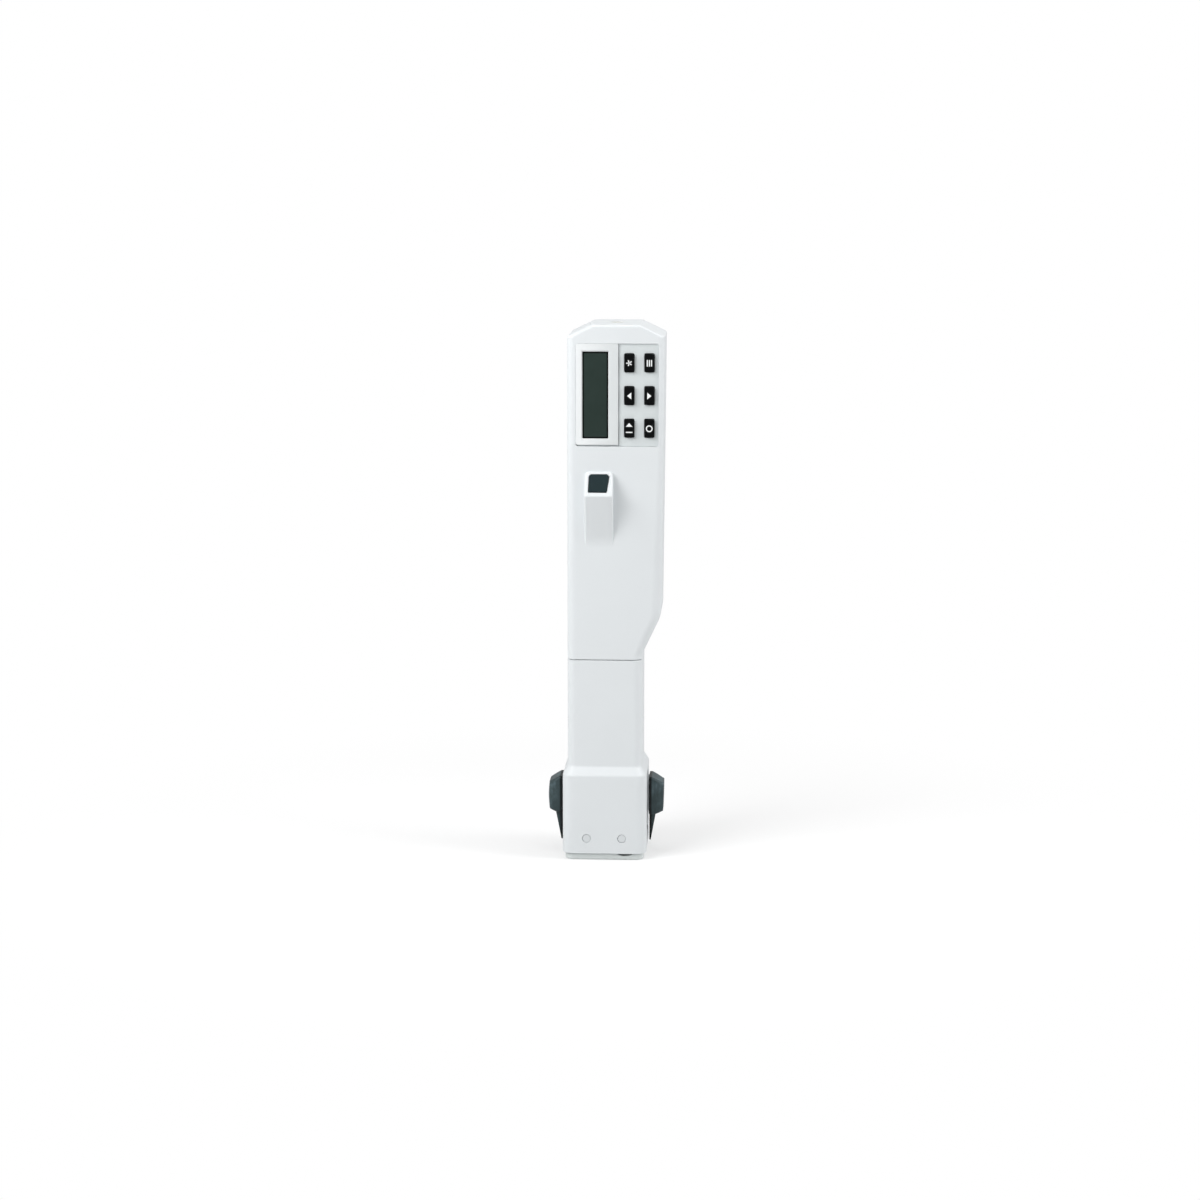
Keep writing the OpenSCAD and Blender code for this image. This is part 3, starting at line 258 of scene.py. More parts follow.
def disc(radius, z0, z1, place=Matrix(), steps=16, name="disc"):
    return prism(name, rounded(-radius, radius, -radius, radius, radius, steps=steps), z0, z1, place)


def pin(x, z, radius, y0, y1, steps=12):
    """A round bar along Y from y0 to y1."""
    return disc(radius, -y1, -y0, Matrix.Translation((x, 0, z)) @ FORWARD, steps, "pin")


def shape(body, operation, tools):
    """Adds the tools to the body or cuts them out of it, and deletes them."""
    for tool in tools:
        step = body.modifiers.new("step", "BOOLEAN")
        step.object, step.operation, step.solver = tool, operation, "EXACT"
        graph = bpy.context.evaluated_depsgraph_get()
        shaped = bpy.data.meshes.new_from_object(body.evaluated_get(graph))
        body.modifiers.clear()
        old, body.data = body.data, shaped
        bpy.data.meshes.remove(old)
        bpy.data.objects.remove(tool)
    return body


def cut(body, *tools):
    return shape(body, "DIFFERENCE", tools)


def join(body, *tools):
    return shape(body, "UNION", tools)


def keep_flat(piece):
    """Leaves flat faces flat where the faces beside them are shaded smoothly."""
    even = piece.modifiers.new("flat faces", "WEIGHTED_NORMAL")
    even.keep_sharp = True
    even.weight = 80
    return piece


def smooth(piece, angle=30):
    """Shades the curved faces smoothly, and leaves sharp edges sharp."""
    for face in piece.data.polygons:
        face.use_smooth = True
    piece.data.set_sharp_from_angle(angle=math.radians(angle))
    return keep_flat(piece)


def soften(piece, width_mm, segments=2, angle=24):
    """Rounds the sharp edges, and shades the curved faces smoothly."""
    for face in piece.data.polygons:
        face.use_smooth = True
    edge = piece.modifiers.new("round edges", "BEVEL")
    edge.width = width_mm * MM
    edge.segments = segments
    edge.limit_method = "ANGLE"
    edge.angle_limit = math.radians(angle)
    edge.use_clamp_overlap = False
    edge.miter_outer = "MITER_ARC"
    return keep_flat(piece)


def finish_piece(piece, name, finish, body, slot, *nodes):
    """Names a piece and gives it its finish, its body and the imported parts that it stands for."""
    piece.name = name
    piece.data.name = name
    piece.data.materials.clear()
    piece.data.materials.append(finish)
    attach(piece, body)
    if nodes:
        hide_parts(*nodes)
    return piece


lever_low, lever_high = span("release_lever_right")
housing_low, housing_high = span("lower_housing")
pin_high = span("pivot_pins")[1]
PIN_HEAD_R = 1.9
pivot_x = pin_high.x - PIN_HEAD_R
pivot_z = pin_high.z - PIN_HEAD_R
pad_x = housing_high.x + 0.8
pad_reach = lever_high.x - pad_x
pad_top = 36.4
plate_x = (housing_high.x - 5, housing_high.x - 2.3)
hook_x = (lever_low.x + EYE_R + HOOK_ROOM, HOOK_BACK_X)
STRIP_W = 1.15
PAD_FOOT = 18.6
COVER_GAP = 0.4
cover_x = housing_high.x - COVER_GAP
cover_top = lever_high.z


def pad_rings(bulge, lean, foot, more):
    """The thumb pad's outline at steps out from the block. Each row gives the step, half the
    width there, the rise of the foot, the drop of the top and the corners' radius."""
    crown = [
        (0.0, 6.95, 0.2, 0.2, 1.2), (0.2, 7.2, 0.0, 0.0, 1.3), (1.2, 7.2, 0.0, 0.0, 1.4),
        (1.5, 7.2, 0.02, 0.12, 1.4), (3.0, 7.15, 0.1, 0.98, 1.5), (4.4, 6.9, 0.6, 1.78, 1.7),
        (5.2, 6.6, 0.9, 2.24, 1.8), (5.8, 6.2, 1.12, 2.58, 1.9),
        (pad_reach - bulge - 0.12, 5.8, 1.25, 2.8, 1.9),
        (pad_reach - bulge, 5.4, 1.5, 3.05, 2.0), (pad_reach - bulge * 0.45, 4.3, 3.7, 5.4, 2.4),
        (pad_reach - bulge * 0.1, 3.4, 5.9, 7.8, 1.6), (pad_reach, 2.6, 7.2, 9.2, 0.35),
    ]
    rings = []
    for out, half_y, rise, drop, r in crown:
        ring = rounded(-half_y, half_y, foot + rise, pad_top - drop, r, steps=7)
        slant = [lean * (pad_top - z) / 18 for y, z in ring]
        rings.append([(y, z, pad_x + out + (more - s) * out / pad_reach) for (y, z), s in zip(ring, slant)])
    return rings


def tail_rings():
    """The tail, from the pad's foot down to a thin tip close to the block."""
    steps = ((5.6, 0.72, 3.3), (5.8, 0.8, 3.5), (11.0, 1.72, 4.2), (18.0, 3.0, 5.1), (20.0, 3.4, 5.4))
    return [
        at_level(rounded(pad_x + 0.12, pad_x + reach, -half_y, half_y, 0.12, min(0.45, reach / 3), 5), z)
        for z, reach, half_y in steps
    ]


def lever(side, **form):
    """One lever: its dark pad and tail, and its arm with the cover that fills the housing's slot."""
    body = "lever_right" if side > 0 else "lever_left"
    pad = stack("pad", pad_rings(**form), OUTWARD)
    join(pad, stack("tail", tail_rings()))
    eye_z = (pivot_z - ARM_HALF, pivot_z + ARM_HALF)
    cover = rounded(-COVER_HALF_Y, COVER_HALF_Y, COVER_FOOT, cover_top, 0.5, steps=4)
    arm = prism("arm", cover, plate_x[1] - 0.1, cover_x, OUTWARD)
    parts = [
        block((cover_x - 1, pad_x + 0.3), (-STEM_HALF_Y, STEM_HALF_Y), (PAD_FOOT + 1.5, pad_top - 1.4)),
        block(plate_x, (-PLATE_HALF_Y, PLATE_HALF_Y), (pivot_z, pad_top - 0.8)),
        block(plate_x, (-EYE_Y[1], EYE_Y[1]), (pivot_z - ARM_HALF, pivot_z + 2 * ARM_HALF)),
        block((hook_x[0], plate_x[1]), (-HOOK_HALF_Y, HOOK_HALF_Y), eye_z),
        block(hook_x, (-HOOK_HALF_Y, HOOK_HALF_Y), (lever_low.z, pivot_z + ARM_HALF)),
        block((HOOK_TIP_X, hook_x[1]), (-HOOK_HALF_Y, HOOK_HALF_Y), (lever_low.z, lever_low.z + HOOK_T)),
    ]
    for half in (-1, 1):
        eye = sorted((half * EYE_Y[0], half * EYE_Y[1]))
        parts.append(block((pivot_x, plate_x[1]), eye, eye_z))
        parts.append(pin(pivot_x, pivot_z, EYE_R, *eye))
    join(arm, *parts)
    spring = Matrix.Translation((0, 0, SPRING_Z)) @ OUTWARD
    spring_room = disc(SPRING_ROOM_R, plate_x[0] - 1, plate_x[0] + SPRING_ROOM, spring, 8)
    cut(arm, pin(pivot_x, pivot_z, PIN_HOLE_R, -15, 15), spring_room)
    for piece in (pad, arm):
        if side < 0:
            piece.data.transform(Matrix.Scale(-1, 4, (1, 0, 0)))
            piece.data.flip_normals()
        soften(piece, 0.12, angle=32)
    finish_piece(pad, body + "_pad", lever_plastic, body, "lever_plastic", "release_" + body)
    finish_piece(arm, body + "_arm", arm_plastic, body, "pin_plastic")


def scuffed(name, colour, scuff, edge):
    """Dark plastic that thumbs have rubbed: pale scuffs and streaks, and painted shade: a near-black strip
    along the inner edge beside the block.
    """
    made, shader, wire = new_finish(name, Specular_IOR_Level=0.22)
    place = wire.node("TexCoord", output=3)
    x, z = (wire.node("SeparateXYZ", None, {"Vector": place}, output=i) for i in (0, 2))
    upright = wire.stretched(place, 1.0, 1.0, 0.3)
    streak = wire.noise(upright, 1.7, detail=6, roughness=0.65).between(0.42, 0.72)
    cloud = wire.noise(place, 6, detail=3).between(0.38, 0.68)
    thumb = z.between(19 * MM, 33 * MM)
    worn = (streak * 0.7 + 0.3) * (cloud * 0.75 + 0.25) * (thumb * 0.75 + 0.25)
    grain = wire.noise(place, 0.3, detail=3, roughness=0.6)
    # Painted shade: the strip of the pad next to the block is painted near black, where the block and the
    # gap beside it shade it.
    painted_shade_strip = 1 - x.math("ABSOLUTE", x).between((pad_x + STRIP_W - 0.3) * MM, (pad_x + STRIP_W + 0.5) * MM)
    rubbed = worn.blend(tinted(colour), tinted(scuff))
    feed(shader, "Base Color", painted_shade_strip.blend(rubbed, tinted(edge)))
    feed(shader, "Roughness", worn * 0.12 + grain * 0.08 + 0.38)
    feed(shader, "Normal", relief(wire, grain + streak * 0.6, 0.01))
    return made


# The last colour is the painted shade along the pad's inner edge.
lever_plastic = scuffed("lever_plastic", linear(47, 60, 62), linear(96, 114, 120), linear(5, 14, 15))
arm_plastic = moulded("arm_plastic", linear(210, 214, 216), 0.45, mottle=0.03)
lever(1, bulge=0.12, lean=0.45, foot=PAD_FOOT - 0.2, more=0.35)
lever(-1, bulge=0.5, lean=0.0, foot=PAD_FOOT + 0.5, more=0.0)


def turned_metal(name, colour, roughness=0.3, along=(1.0, 1.0, 0.02), size_mm=0.5):
    """Metal with the fine marks of its tool, drawn out one way, and faint clouds in gloss."""
    made, shader, wire = new_finish(name, Metallic=1.0)
    place = wire.node("TexCoord", output=3)
    marks = wire.noise(wire.stretched(place, *along), size_mm, detail=4)
    cloud = wire.noise(place, 8)
    feed(shader, "Base Color", marks.blend(tinted(colour, 0.9), tinted(colour, 1.08)))
    feed(shader, "Roughness", marks * 0.12 + cloud * 0.1 + (roughness - 0.1))
    feed(shader, "Normal", relief(wire, marks, 0.004))
    return made


spring_steel = turned_metal("spring_steel", linear(196, 198, 201), 0.28, (1.0, 1.0, 1.0))
dress(spring_steel, "lever_spring_right", "lever_spring_left")


# ---------------------------------------------------------------- lower housing
# The grip and the wide block under it, moulded in one piece in light grey plastic with a fine
# satin grain. A collar on its top slides into the head, and a narrow gap is left at the seam.
# The levers stand in a tall slot in each side, and the pivot pins go in through the front.

WALL = 2.0
COLLAR_GAP = 0.15
COLLAR_T = 1.4
SEAM_GAP = 0.4
FLARE_Z = 39.9
FLARE_H = 4.0
FLARE_SOFT = 0.55
THROAT_EDGE_R = 0.6
BLOCK_EDGE_R = 5.0
GRIP_EDGE_R = 4.0

rear_low, rear_high = span("rear_shell")
grip_half_x = -rear_low.x
grip_half_y = rear_high.y
block_half_x = housing_high.x
block_half_y = housing_high.y
block_foot = housing_low.z
collar_top = housing_high.z
head_foot = rear_low.z
seam_foot = head_foot - SEAM_GAP


def bend(z, corner, blend):
    """0 before a corner and z - corner after it, with a soft turn between."""
    if z <= corner - blend:
        return 0.0
    if z >= corner + blend:
        return z - corner
    return (z - corner + blend) ** 2 / (4 * blend)


def housing_ring(z, depth=0.0):
    """The outline of the grip and block at a height, drawn in by a depth."""
    narrowing = (bend(z, FLARE_Z, FLARE_SOFT) - bend(z, FLARE_Z + FLARE_H, FLARE_SOFT)) / FLARE_H
    half_x = block_half_x - narrowing * (block_half_x - grip_half_x) - depth
    half_y = block_half_y - narrowing * (block_half_y - grip_half_y) - depth
    radius = BLOCK_EDGE_R - narrowing * (BLOCK_EDGE_R - GRIP_EDGE_R) - depth
    return at_level(rounded(-half_x, half_x, -half_y, half_y, radius), z)


def turn_levels(corner, soft, steps=5):
    """Heights for rings through a soft turn."""
    return [corner + soft * (2 * i / steps - 1) for i in range(steps + 1)]


flare_levels = turn_levels(FLARE_Z, FLARE_SOFT) + turn_levels(FLARE_Z + FLARE_H, FLARE_SOFT)
housing = stack("housing", [housing_ring(z) for z in [block_foot, *flare_levels, seam_foot]])
collar_in = WALL + COLLAR_GAP


def inside_grip(depth, radius):
    half_x, half_y = grip_half_x - depth, grip_half_y - depth
    return rounded(-half_x, half_x, -half_y, half_y, radius)


join(housing, prism("collar", inside_grip(collar_in, GRIP_EDGE_R - WALL), seam_foot - 1, collar_top))
cut(
    housing,
    stack("room", [housing_ring(z, WALL) for z in [block_foot - 1, *flare_levels, seam_foot - 4]]),
    prism("throat", inside_grip(collar_in + COLLAR_T, THROAT_EDGE_R), seam_foot - 5, collar_top + 1),
)
SLOT_HALF_Y = 7.8
SLOT_Z = (11.0, cover_top + 0.8)
PIN_HEAD_GAP = 0.1
for side in (-1, 1):
    x = sorted((side * (block_half_x - WALL - 1), side * (block_half_x + 1)))
    slot_outline = rounded(-SLOT_HALF_Y, SLOT_HALF_Y, SLOT_Z[0], SLOT_Z[1], 0.5, steps=3)
    slot = prism("slot", slot_outline, x[0], x[1], OUTWARD)
    head_hole = (PIN_HEAD_R + PIN_HEAD_GAP, -block_half_y - 1, 1 - block_half_y + WALL)
    cut(housing, slot, pin(side * pivot_x, pivot_z, *head_hole))
soften(housing, 0.22, 3)


def shell_finish(name, colour):
    """Satin light grey plastic: a very fine spark-eroded grain, faint clouds, a few tiny specks."""
    made, shader, wire = new_finish(name, IOR=1.46)
    place = wire.node("TexCoord", output=3)
    cloud = wire.noise(place, 22, detail=3)
    grain = wire.noise(place, 0.32, detail=3, roughness=0.65)
    dust = wire.node("TexVoronoi", {"feature": "F1"}, {"Vector": place, "Scale": 1 / (9 * MM)})
    speck = 1 - dust.between(0.018, 0.032)
    rare = wire.noise(place, 11, detail=0).between(0.6, 0.66)
    body = cloud.blend(tinted(colour, 0.985), tinted(colour, 1.015))
    feed(shader, "Base Color", (speck * rare * 0.6).blend(body, (0.16, 0.17, 0.17, 1.0)))
    feed(shader, "Roughness", cloud * 0.08 + grain * 0.08 + 0.36)
    feed(shader, "Normal", relief(wire, grain, 0.006))
    return made


body_plastic = shell_finish("body_plastic", linear(218, 222, 224))
finish_piece(housing, "grip_and_block", body_plastic, "housing", "body_plastic", "lower_housing")


# ---------------------------------------------------------------- pivot pins
# Two plain pins that the levers swing on. Each has a flat head in the housing's own colour,
# pressed in from the front until it lies almost flush. The heads sit a little off centre in
# their holes, so the gap round them is wider on one side.

pins = None
pin_low = span("pivot_pins")[0]
PIN_R = 1.25
head_back = -(block_half_y - WALL - 0.15)
for side, lean in ((-1, (0.06, -0.06)), (1, (0.06, 0.06))):
    x, z = side * pivot_x + lean[0], pivot_z + lean[1]
    head = stack("head", [
        at_level(rounded(-r, r, -r, r, r, steps=14), level)
        for r, level in [
            (PIN_HEAD_R, -head_back), (PIN_HEAD_R, -pin_low.y - 0.16),
            (PIN_HEAD_R - 0.2, -pin_low.y - 0.03), (PIN_HEAD_R - 0.8, -pin_low.y),
        ]
    ], Matrix.Translation((x, 0, z)) @ FORWARD)
    join(head, pin(side * pivot_x, pivot_z, PIN_R, head_back - 1, -head_back))
    pins = head if pins is None else join(pins, head)
soften(pins, 0.06, 2, 32)
pin_plastic = moulded("pin_plastic", linear(209, 213, 215), 0.42, depth_mm=0.004, mottle=0.03)
finish_piece(pins, "pivot_pin_pair", pin_plastic, "housing", "pin_plastic", "pivot_pins")


# ---------------------------------------------------------------- foot ring
# The ring under the block that the pipette stands on, moulded in a slightly duller grey and
# held by four small screws. It stands back from the block behind a dark gap, and has a notch
# in its front edge to lift it off by. The levers' hooks stand in slots beside its bore.

ring_low, ring_high = span("base_ring")
RING_EDGE_R = 3.8
RING_BORE_R = 11.6
SLOT_X = 17.0
NOTCH_X, NOTCH_R, NOTCH_H = 9.5, 8.7, 0.45
SCREW_X, SCREW_Y = 11.0, 16.2
SCREW_HOLE_R, SCREW_SINK_R, SCREW_SINK = 1.1, 2.0, 1.4
THROUGH_RING = (-1, 4)


def foot_outline(depth):
    x0, x1, y0, y1 = ring_low.x + depth, ring_high.x - depth, ring_low.y + depth, ring_high.y - depth
    return rounded(x0, x1, y0, y1, RING_EDGE_R - depth)


foot_r = 0.7
foot_steps = [math.radians(15 * i) for i in range(7)]
foot_levels = [(foot_r * (1 - math.cos(a)), foot_r * (1 - math.sin(a))) for a in foot_steps]
foot_levels += [(ring_high.z + up, depth) for up, depth in ((0.25, 0), (0.37, 0.04), (0.42, 0.16))]
foot = stack("foot", [at_level(foot_outline(depth), z) for z, depth in foot_levels])
cut(
    foot,
    disc(RING_BORE_R, *THROUGH_RING, steps=20),
    block((-SLOT_X, SLOT_X), (-HOOK_HALF_Y - 0.4, HOOK_HALF_Y + 0.4), THROUGH_RING),
    pin(NOTCH_X, ring_high.z + NOTCH_R - NOTCH_H, NOTCH_R, ring_low.y - 1, ring_low.y + 4, 24),
)
for x in (-SCREW_X, SCREW_X):
    for y in (-SCREW_Y, SCREW_Y):
        at = Matrix.Translation((x, y, 0))
        cut(foot, disc(SCREW_HOLE_R, *THROUGH_RING, at, 8), disc(SCREW_SINK_R, -1, SCREW_SINK, at, 8))
soften(foot, 0.12, 2, 32)
foot_plastic = moulded("foot_plastic", linear(214, 220, 219), 0.42, depth_mm=0.005, mottle=0.03)
finish_piece(foot, "foot_ring", foot_plastic, "housing", "foot_plastic", "base_ring")

screw_steel = turned_metal("screw_steel", linear(178, 180, 184), 0.32, (1.0, 1.0, 1.0), 0.3)
dress(screw_steel, "base_screws", "case_screws")


# ---------------------------------------------------------------- drive
# The motor and its gearbox turn a lead screw in a ball bearing, and the nut on it pushes the
# ram that carries the collet for the tip's plunger. Steel, with acetal where parts slide, and
# two milled aluminium plates that hold the guide rods.

steel = turned_metal("steel", linear(190, 192, 196), 0.25)
acetal = moulded("acetal", linear(226, 224, 213), 0.38, 0.6, 0.004, 0.03)
dress(steel, "motor", "screw_bearing", "lead_screw", "piston_ram", "guide_rods")
dress(turned_metal("gearbox_metal", linear(168, 168, 160), 0.4), "gearbox")
plate_aluminium = turned_metal("plate_aluminium", linear(186, 188, 190), 0.35, (1.0, 0.05, 1.0))
dress(plate_aluminium, "bearing_plate", "lower_guide_plate")
dress(acetal, "drive_nut", "plunger_gripper")


# ---------------------------------------------------------------- rear shell
# The back half of the head, moulded in the same light grey. It takes in the overhang on the
# right, the slanted shoulders and half of the charging socket's hole. Six screws stand in
# deep counterbores in it and pull the front shell up to it.

SLOPE_FOOT_Z, SLOPE_TOP_Z = 96.0, 114.5
SLOPE_FOOT_SOFT, SLOPE_TOP_SOFT = 1.5, 3
FOOT_REACH = 25.9
SHOULDER_W, SHOULDER_H, SHOULDER_SOFT = 10.9, 5.2, 0.8
TOP_EDGE_R = 1.2
RIGHT_RADII = ((94.0, 4.0), (114.5, 5.0), (185.0, 2.4))
LEFT_RADII = ((94.0, 4.0), (185.0, 3.4))
top_z = rear_high.z
head_reach = rear_high.x
shoulder_z = top_z - SHOULDER_H
slope_rate = (FOOT_REACH - grip_half_x) / (SLOPE_TOP_Z - SLOPE_FOOT_Z)
head_rate = (head_reach - FOOT_REACH) / (shoulder_z - SLOPE_TOP_Z)
shoulder_slant = math.cos(math.atan(SHOULDER_H / SHOULDER_W))


def edge_r(z, steps):
    """The radius of an upright edge at a height, between the given heights and radii."""
    for (z0, r0), (z1, r1) in zip(steps, steps[1:]):
        if z <= z1:
            return r0 + (r1 - r0) * max(z - z0, 0) / (z1 - z0)
    return steps[-1][1]


def head_ring(z, depth):
    """The head's outline at a height, drawn in by a depth."""
    shoulder = SHOULDER_W / SHOULDER_H * bend(z + depth / shoulder_slant, shoulder_z, SHOULDER_SOFT)
    right = (
        grip_half_x + slope_rate * bend(z, SLOPE_FOOT_Z, SLOPE_FOOT_SOFT)
        - (slope_rate - head_rate) * bend(z, SLOPE_TOP_Z, SLOPE_TOP_SOFT) - depth
    )
    over = min(z - top_z + TOP_EDGE_R, TOP_EDGE_R)
    front = TOP_EDGE_R - math.sqrt(TOP_EDGE_R**2 - over**2) if over > 0 and not depth else 0
    half_y = grip_half_y - depth - front
    left = -grip_half_x + max(depth, shoulder)
    left_r, right_r = (max(edge_r(z, radii) - depth, 0.5) for radii in (LEFT_RADII, RIGHT_RADII))
    return at_level(rounded(left, min(right, head_reach - shoulder), -half_y, half_y, left_r, right_r), z)


def head_form(depth):
    """The head's skin at depth 0, or the room inside it, which is open at its foot."""
    levels = turn_levels(SLOPE_FOOT_Z, SLOPE_FOOT_SOFT) + turn_levels(SLOPE_TOP_Z, SLOPE_TOP_SOFT, 9)
    levels += [RIGHT_RADII[-1][0], *turn_levels(shoulder_z - depth / shoulder_slant, SHOULDER_SOFT)]
    if depth:
        levels = [head_foot - 1, *levels, top_z - depth]
    else:
        rim = [top_z - TOP_EDGE_R * (1 - math.sin(math.radians(15 * i))) for i in range(7)]
        levels = [head_foot, *levels, *rim]
    return stack("head", [head_ring(z, depth) for z in levels])


JACK_X = (head_reach - grip_half_x) / 2
JACK_HOLE_R = 3.25
CASE_SCREW_R = 2.2
SCREW_SHANK_R, SCREW_HEAD_R, SCREW_POST_R = 1.3, 2.5, 3.4
SCREW_SEAT_Y = 10.0
cells_low, cells_high = span("battery_cells")
screws_low, screws_high = span("case_screws")
mid_screw_z = (cells_low.z + cells_high.z) / 2
screw_top = screws_high.z - CASE_SCREW_R
screw_foot = screws_low.z + CASE_SCREW_R
SCREWS = [
    (JACK_X - 11.2, screw_top), (JACK_X + 11.2, screw_top), (-12.8, mid_screw_z), (17.0, mid_screw_z),
    (-12.2, screw_foot), (12.2, screw_foot),
]


def half_space(y0, y1):
    """A block that reaches past the head at its sides, top and foot."""
    return block((-99, 99), (y0, y1), (-99, 399))


jack_hole = Matrix.Translation((JACK_X, 0, top_z))
rear = cut(head_form(0), half_space(-99, 0), head_form(WALL))
for x, z in SCREWS:
    join(rear, pin(x, z, SCREW_POST_R, 0.1, grip_half_y - WALL / 2))
for x, z in SCREWS:
    cut(rear, pin(x, z, SCREW_SHANK_R, -1, 30, 8), pin(x, z, SCREW_HEAD_R, SCREW_SEAT_Y, 30))
cut(rear, disc(JACK_HOLE_R, -4, 4, jack_hole))
smooth(rear)
finish_piece(rear, "head_back", body_plastic, "housing", "body_plastic", "rear_shell")


# ---------------------------------------------------------------- power
# Two cells one above the other in a dark cradle, with sprung brass contacts at their ends, and
# the charging socket behind its hole in the top face.

CELL_L = 49
SLEEVE_FOOT, SLEEVE_TOP = 1, 45
SLEEVE_EDGE = 0.1


def sleeved(name, colour, cells):
    """A cell's printed sleeve, with the bare steel of its can at both ends."""
    made, shader, wire = new_finish(name)
    place = wire.node("TexCoord", output=3)
    height = wire.node("SeparateXYZ", None, {"Vector": place}, output=2)
    cloud = wire.noise(place, 5)
    covered = 0
    for foot in cells:
        low, high = foot + SLEEVE_FOOT, foot + SLEEVE_TOP
        above = height.between((low - SLEEVE_EDGE) * MM, low * MM)
        covered = above * (1 - height.between(high * MM, (high + SLEEVE_EDGE) * MM)) + covered
    feed(shader, "Base Color", covered.blend((0.62, 0.63, 0.65, 1), tinted(colour)))
    feed(shader, "Metallic", 1 - covered)
    feed(shader, "Roughness", cloud * 0.1 + 0.28)
    return made


cell_feet = (cells_low.z, cells_high.z - CELL_L)
dress(sleeved("cell_sleeve", linear(52, 92, 128), cell_feet), "battery_cells")
dark_plastic = moulded("dark_plastic", linear(58, 62, 64), 0.5)
dress(dark_plastic, "battery_cradle", "key_switch")
dress(turned_metal("contact_brass", linear(222, 190, 120), 0.3), "battery_contacts")
dress(moulded("socket_plastic", linear(213, 212, 203), 0.4, mottle=0.03), "charging_socket")


# ---------------------------------------------------------------- front shell
# The front half of the head, in the same light grey. It has the shallow recess for the display
# and the keys, and the pod below it, a ramp that ends in a lip under the slanted face of the
# dispensing key.

front_low = span("front_shell")[0]
panel_low, panel_high = span("display_panel")
plate_low, plate_high = span("keypad_plate")
window_low, window_high = span("display_window")
RECESS_GAP = 0.1
recess = (
    panel_low.x - RECESS_GAP, plate_high.x + RECESS_GAP, plate_low.z - RECESS_GAP, plate_high.z + RECESS_GAP
)
recess_floor = plate_high.y
BACKING_T = 1.6
BACKING_OUT = 0.6
WINDOW_LEDGE = 0.7
THROUGH_FRONT = (-30, -10)
KEYS = {
    name: (span("key_" + name)[0] + span("key_" + name)[1]) / 2
    for name in ("star", "menu", "back", "next", "step", "ring")
}
KEY_W, KEY_H = 4.2, 8.2
KEY_GAP = 0.25
POD_X0, POD_X1 = -6.4, 6.65
POD_TILT = 35.5
POD_EDGE_R = 1.15
TRIGGER_L, TRIGGER_W, TRIGGER_FOOT_W = 9.1, 9.1, 8.0
TRIGGER_RIM = 1.45
TRIGGER_SIDE, TRIGGER_UP = 0.25, 0.55
TRIGGER_CUT = 1.1
POCKET_DEPTH = 4.6
POD_DROP, POD_RAMP_H = 76.6, 21.9
POD_SOFT = 3
POD_SINK = 1
SPRING_HOLE_R, SPRING_HOLE_FOOT = 3, -6.4
tilt = math.radians(POD_TILT)
key_low, key_high = span("dispensing_key")
pod_x = (key_low.x + key_high.x) / 2
lip_y = front_low.y - 0.15
face_l = TRIGGER_L + 2 * TRIGGER_RIM
lip_z = top_z - POD_DROP
foot_z = lip_z - POD_RAMP_H
face_y = lip_y + face_l / 2 * math.sin(tilt)
face_z = lip_z + face_l / 2 * math.cos(tilt)
pod_top_y = lip_y + face_l * math.sin(tilt)
pod_top_z = lip_z + face_l * math.cos(tilt)


def at_trigger(depth=0.0):
    """Where the slanted face is, or a depth under it: +Z there points out of the face."""
    turn = Matrix.Rotation(math.pi / 2 - tilt, 4, "X")
    return Matrix.Translation((pod_x, face_y, face_z)) @ turn @ Matrix.Translation((0, 0, -depth))


def corner_arc(corner, before, after, radius, steps=4):
    """The round at a corner of an outline, between the points before and after it."""
    b = Vector(corner)
    one, other = (Vector(before) - b).normalized(), (Vector(after) - b).normalized()
    half = one.angle(other) / 2
    reach = radius / math.tan(half)
    centre = b + (one + other).normalized() * (radius / math.sin(half))
    start, end = b + one * reach - centre, b + other * reach - centre
    return [tuple(centre + start.slerp(end, i / steps).normalized() * radius) for i in range(steps + 1)]


def rounded_outline(corners):
    """An outline with a radius at each corner, given as x, z and radius."""
    points = []
    for before, here, after in zip(corners[-1:] + corners[:-1], corners, corners[1:] + corners[:1]):
        points += corner_arc(here[:2], before[:2], after[:2], here[2])
    return points


def recess_outline(out):
    """The recess seen from the front, wider all round by a distance."""
    x0, x1, z0, z1 = recess[0] - out, recess[1] + out, recess[2] - out, recess[3] + out
    corners = [(x0, z0, 1.2), (x1, z0, 1.2), (x1, z1, 0.6), (x0, z1, 0.9)]
    return rounded_outline([(x, z, r + out) for x, z, r in corners])


def trigger_outline(gap, corner_r=0.25):
    """The key seen square on: upright on the left, slanted on the right, its upper corners cut."""
    head, foot, half = TRIGGER_W / 2 + gap, TRIGGER_FOOT_W / 2 + gap - 0.4, TRIGGER_L / 2 + gap
    corners = [
        (-head, -half, 1.6), (foot - 0.4, -half, 1.0), (foot, -half + 0.4, 1.6),
        (head, half - TRIGGER_CUT, 1), (head - TRIGGER_CUT, half, 1),
        (-head + 0.9, half, 1), (-head + 0.1, half - 1.1, 1),
    ]
    return rounded_outline([(x + TRIGGER_SIDE, y + TRIGGER_UP, corner_r * share) for x, y, share in corners])


def pod_ring(z, y, narrower=0.0):
    """The pod's outline at a height, from its face at y back into the shell."""
    root = -grip_half_y + POD_SINK
    x0, x1 = pod_x + POD_X0 + narrower, pod_x + POD_X1 - narrower
    r = min(POD_EDGE_R, (root - y) / 2 - 0.1)
    return at_level(rounded(x0, x1, y, root, r, steps=6), z)


def pod_front(z):
    """How far out the ramp's face is at a height."""
    return -grip_half_y - (-grip_half_y - lip_y) / POD_RAMP_H * bend(z, foot_z, POD_SOFT)


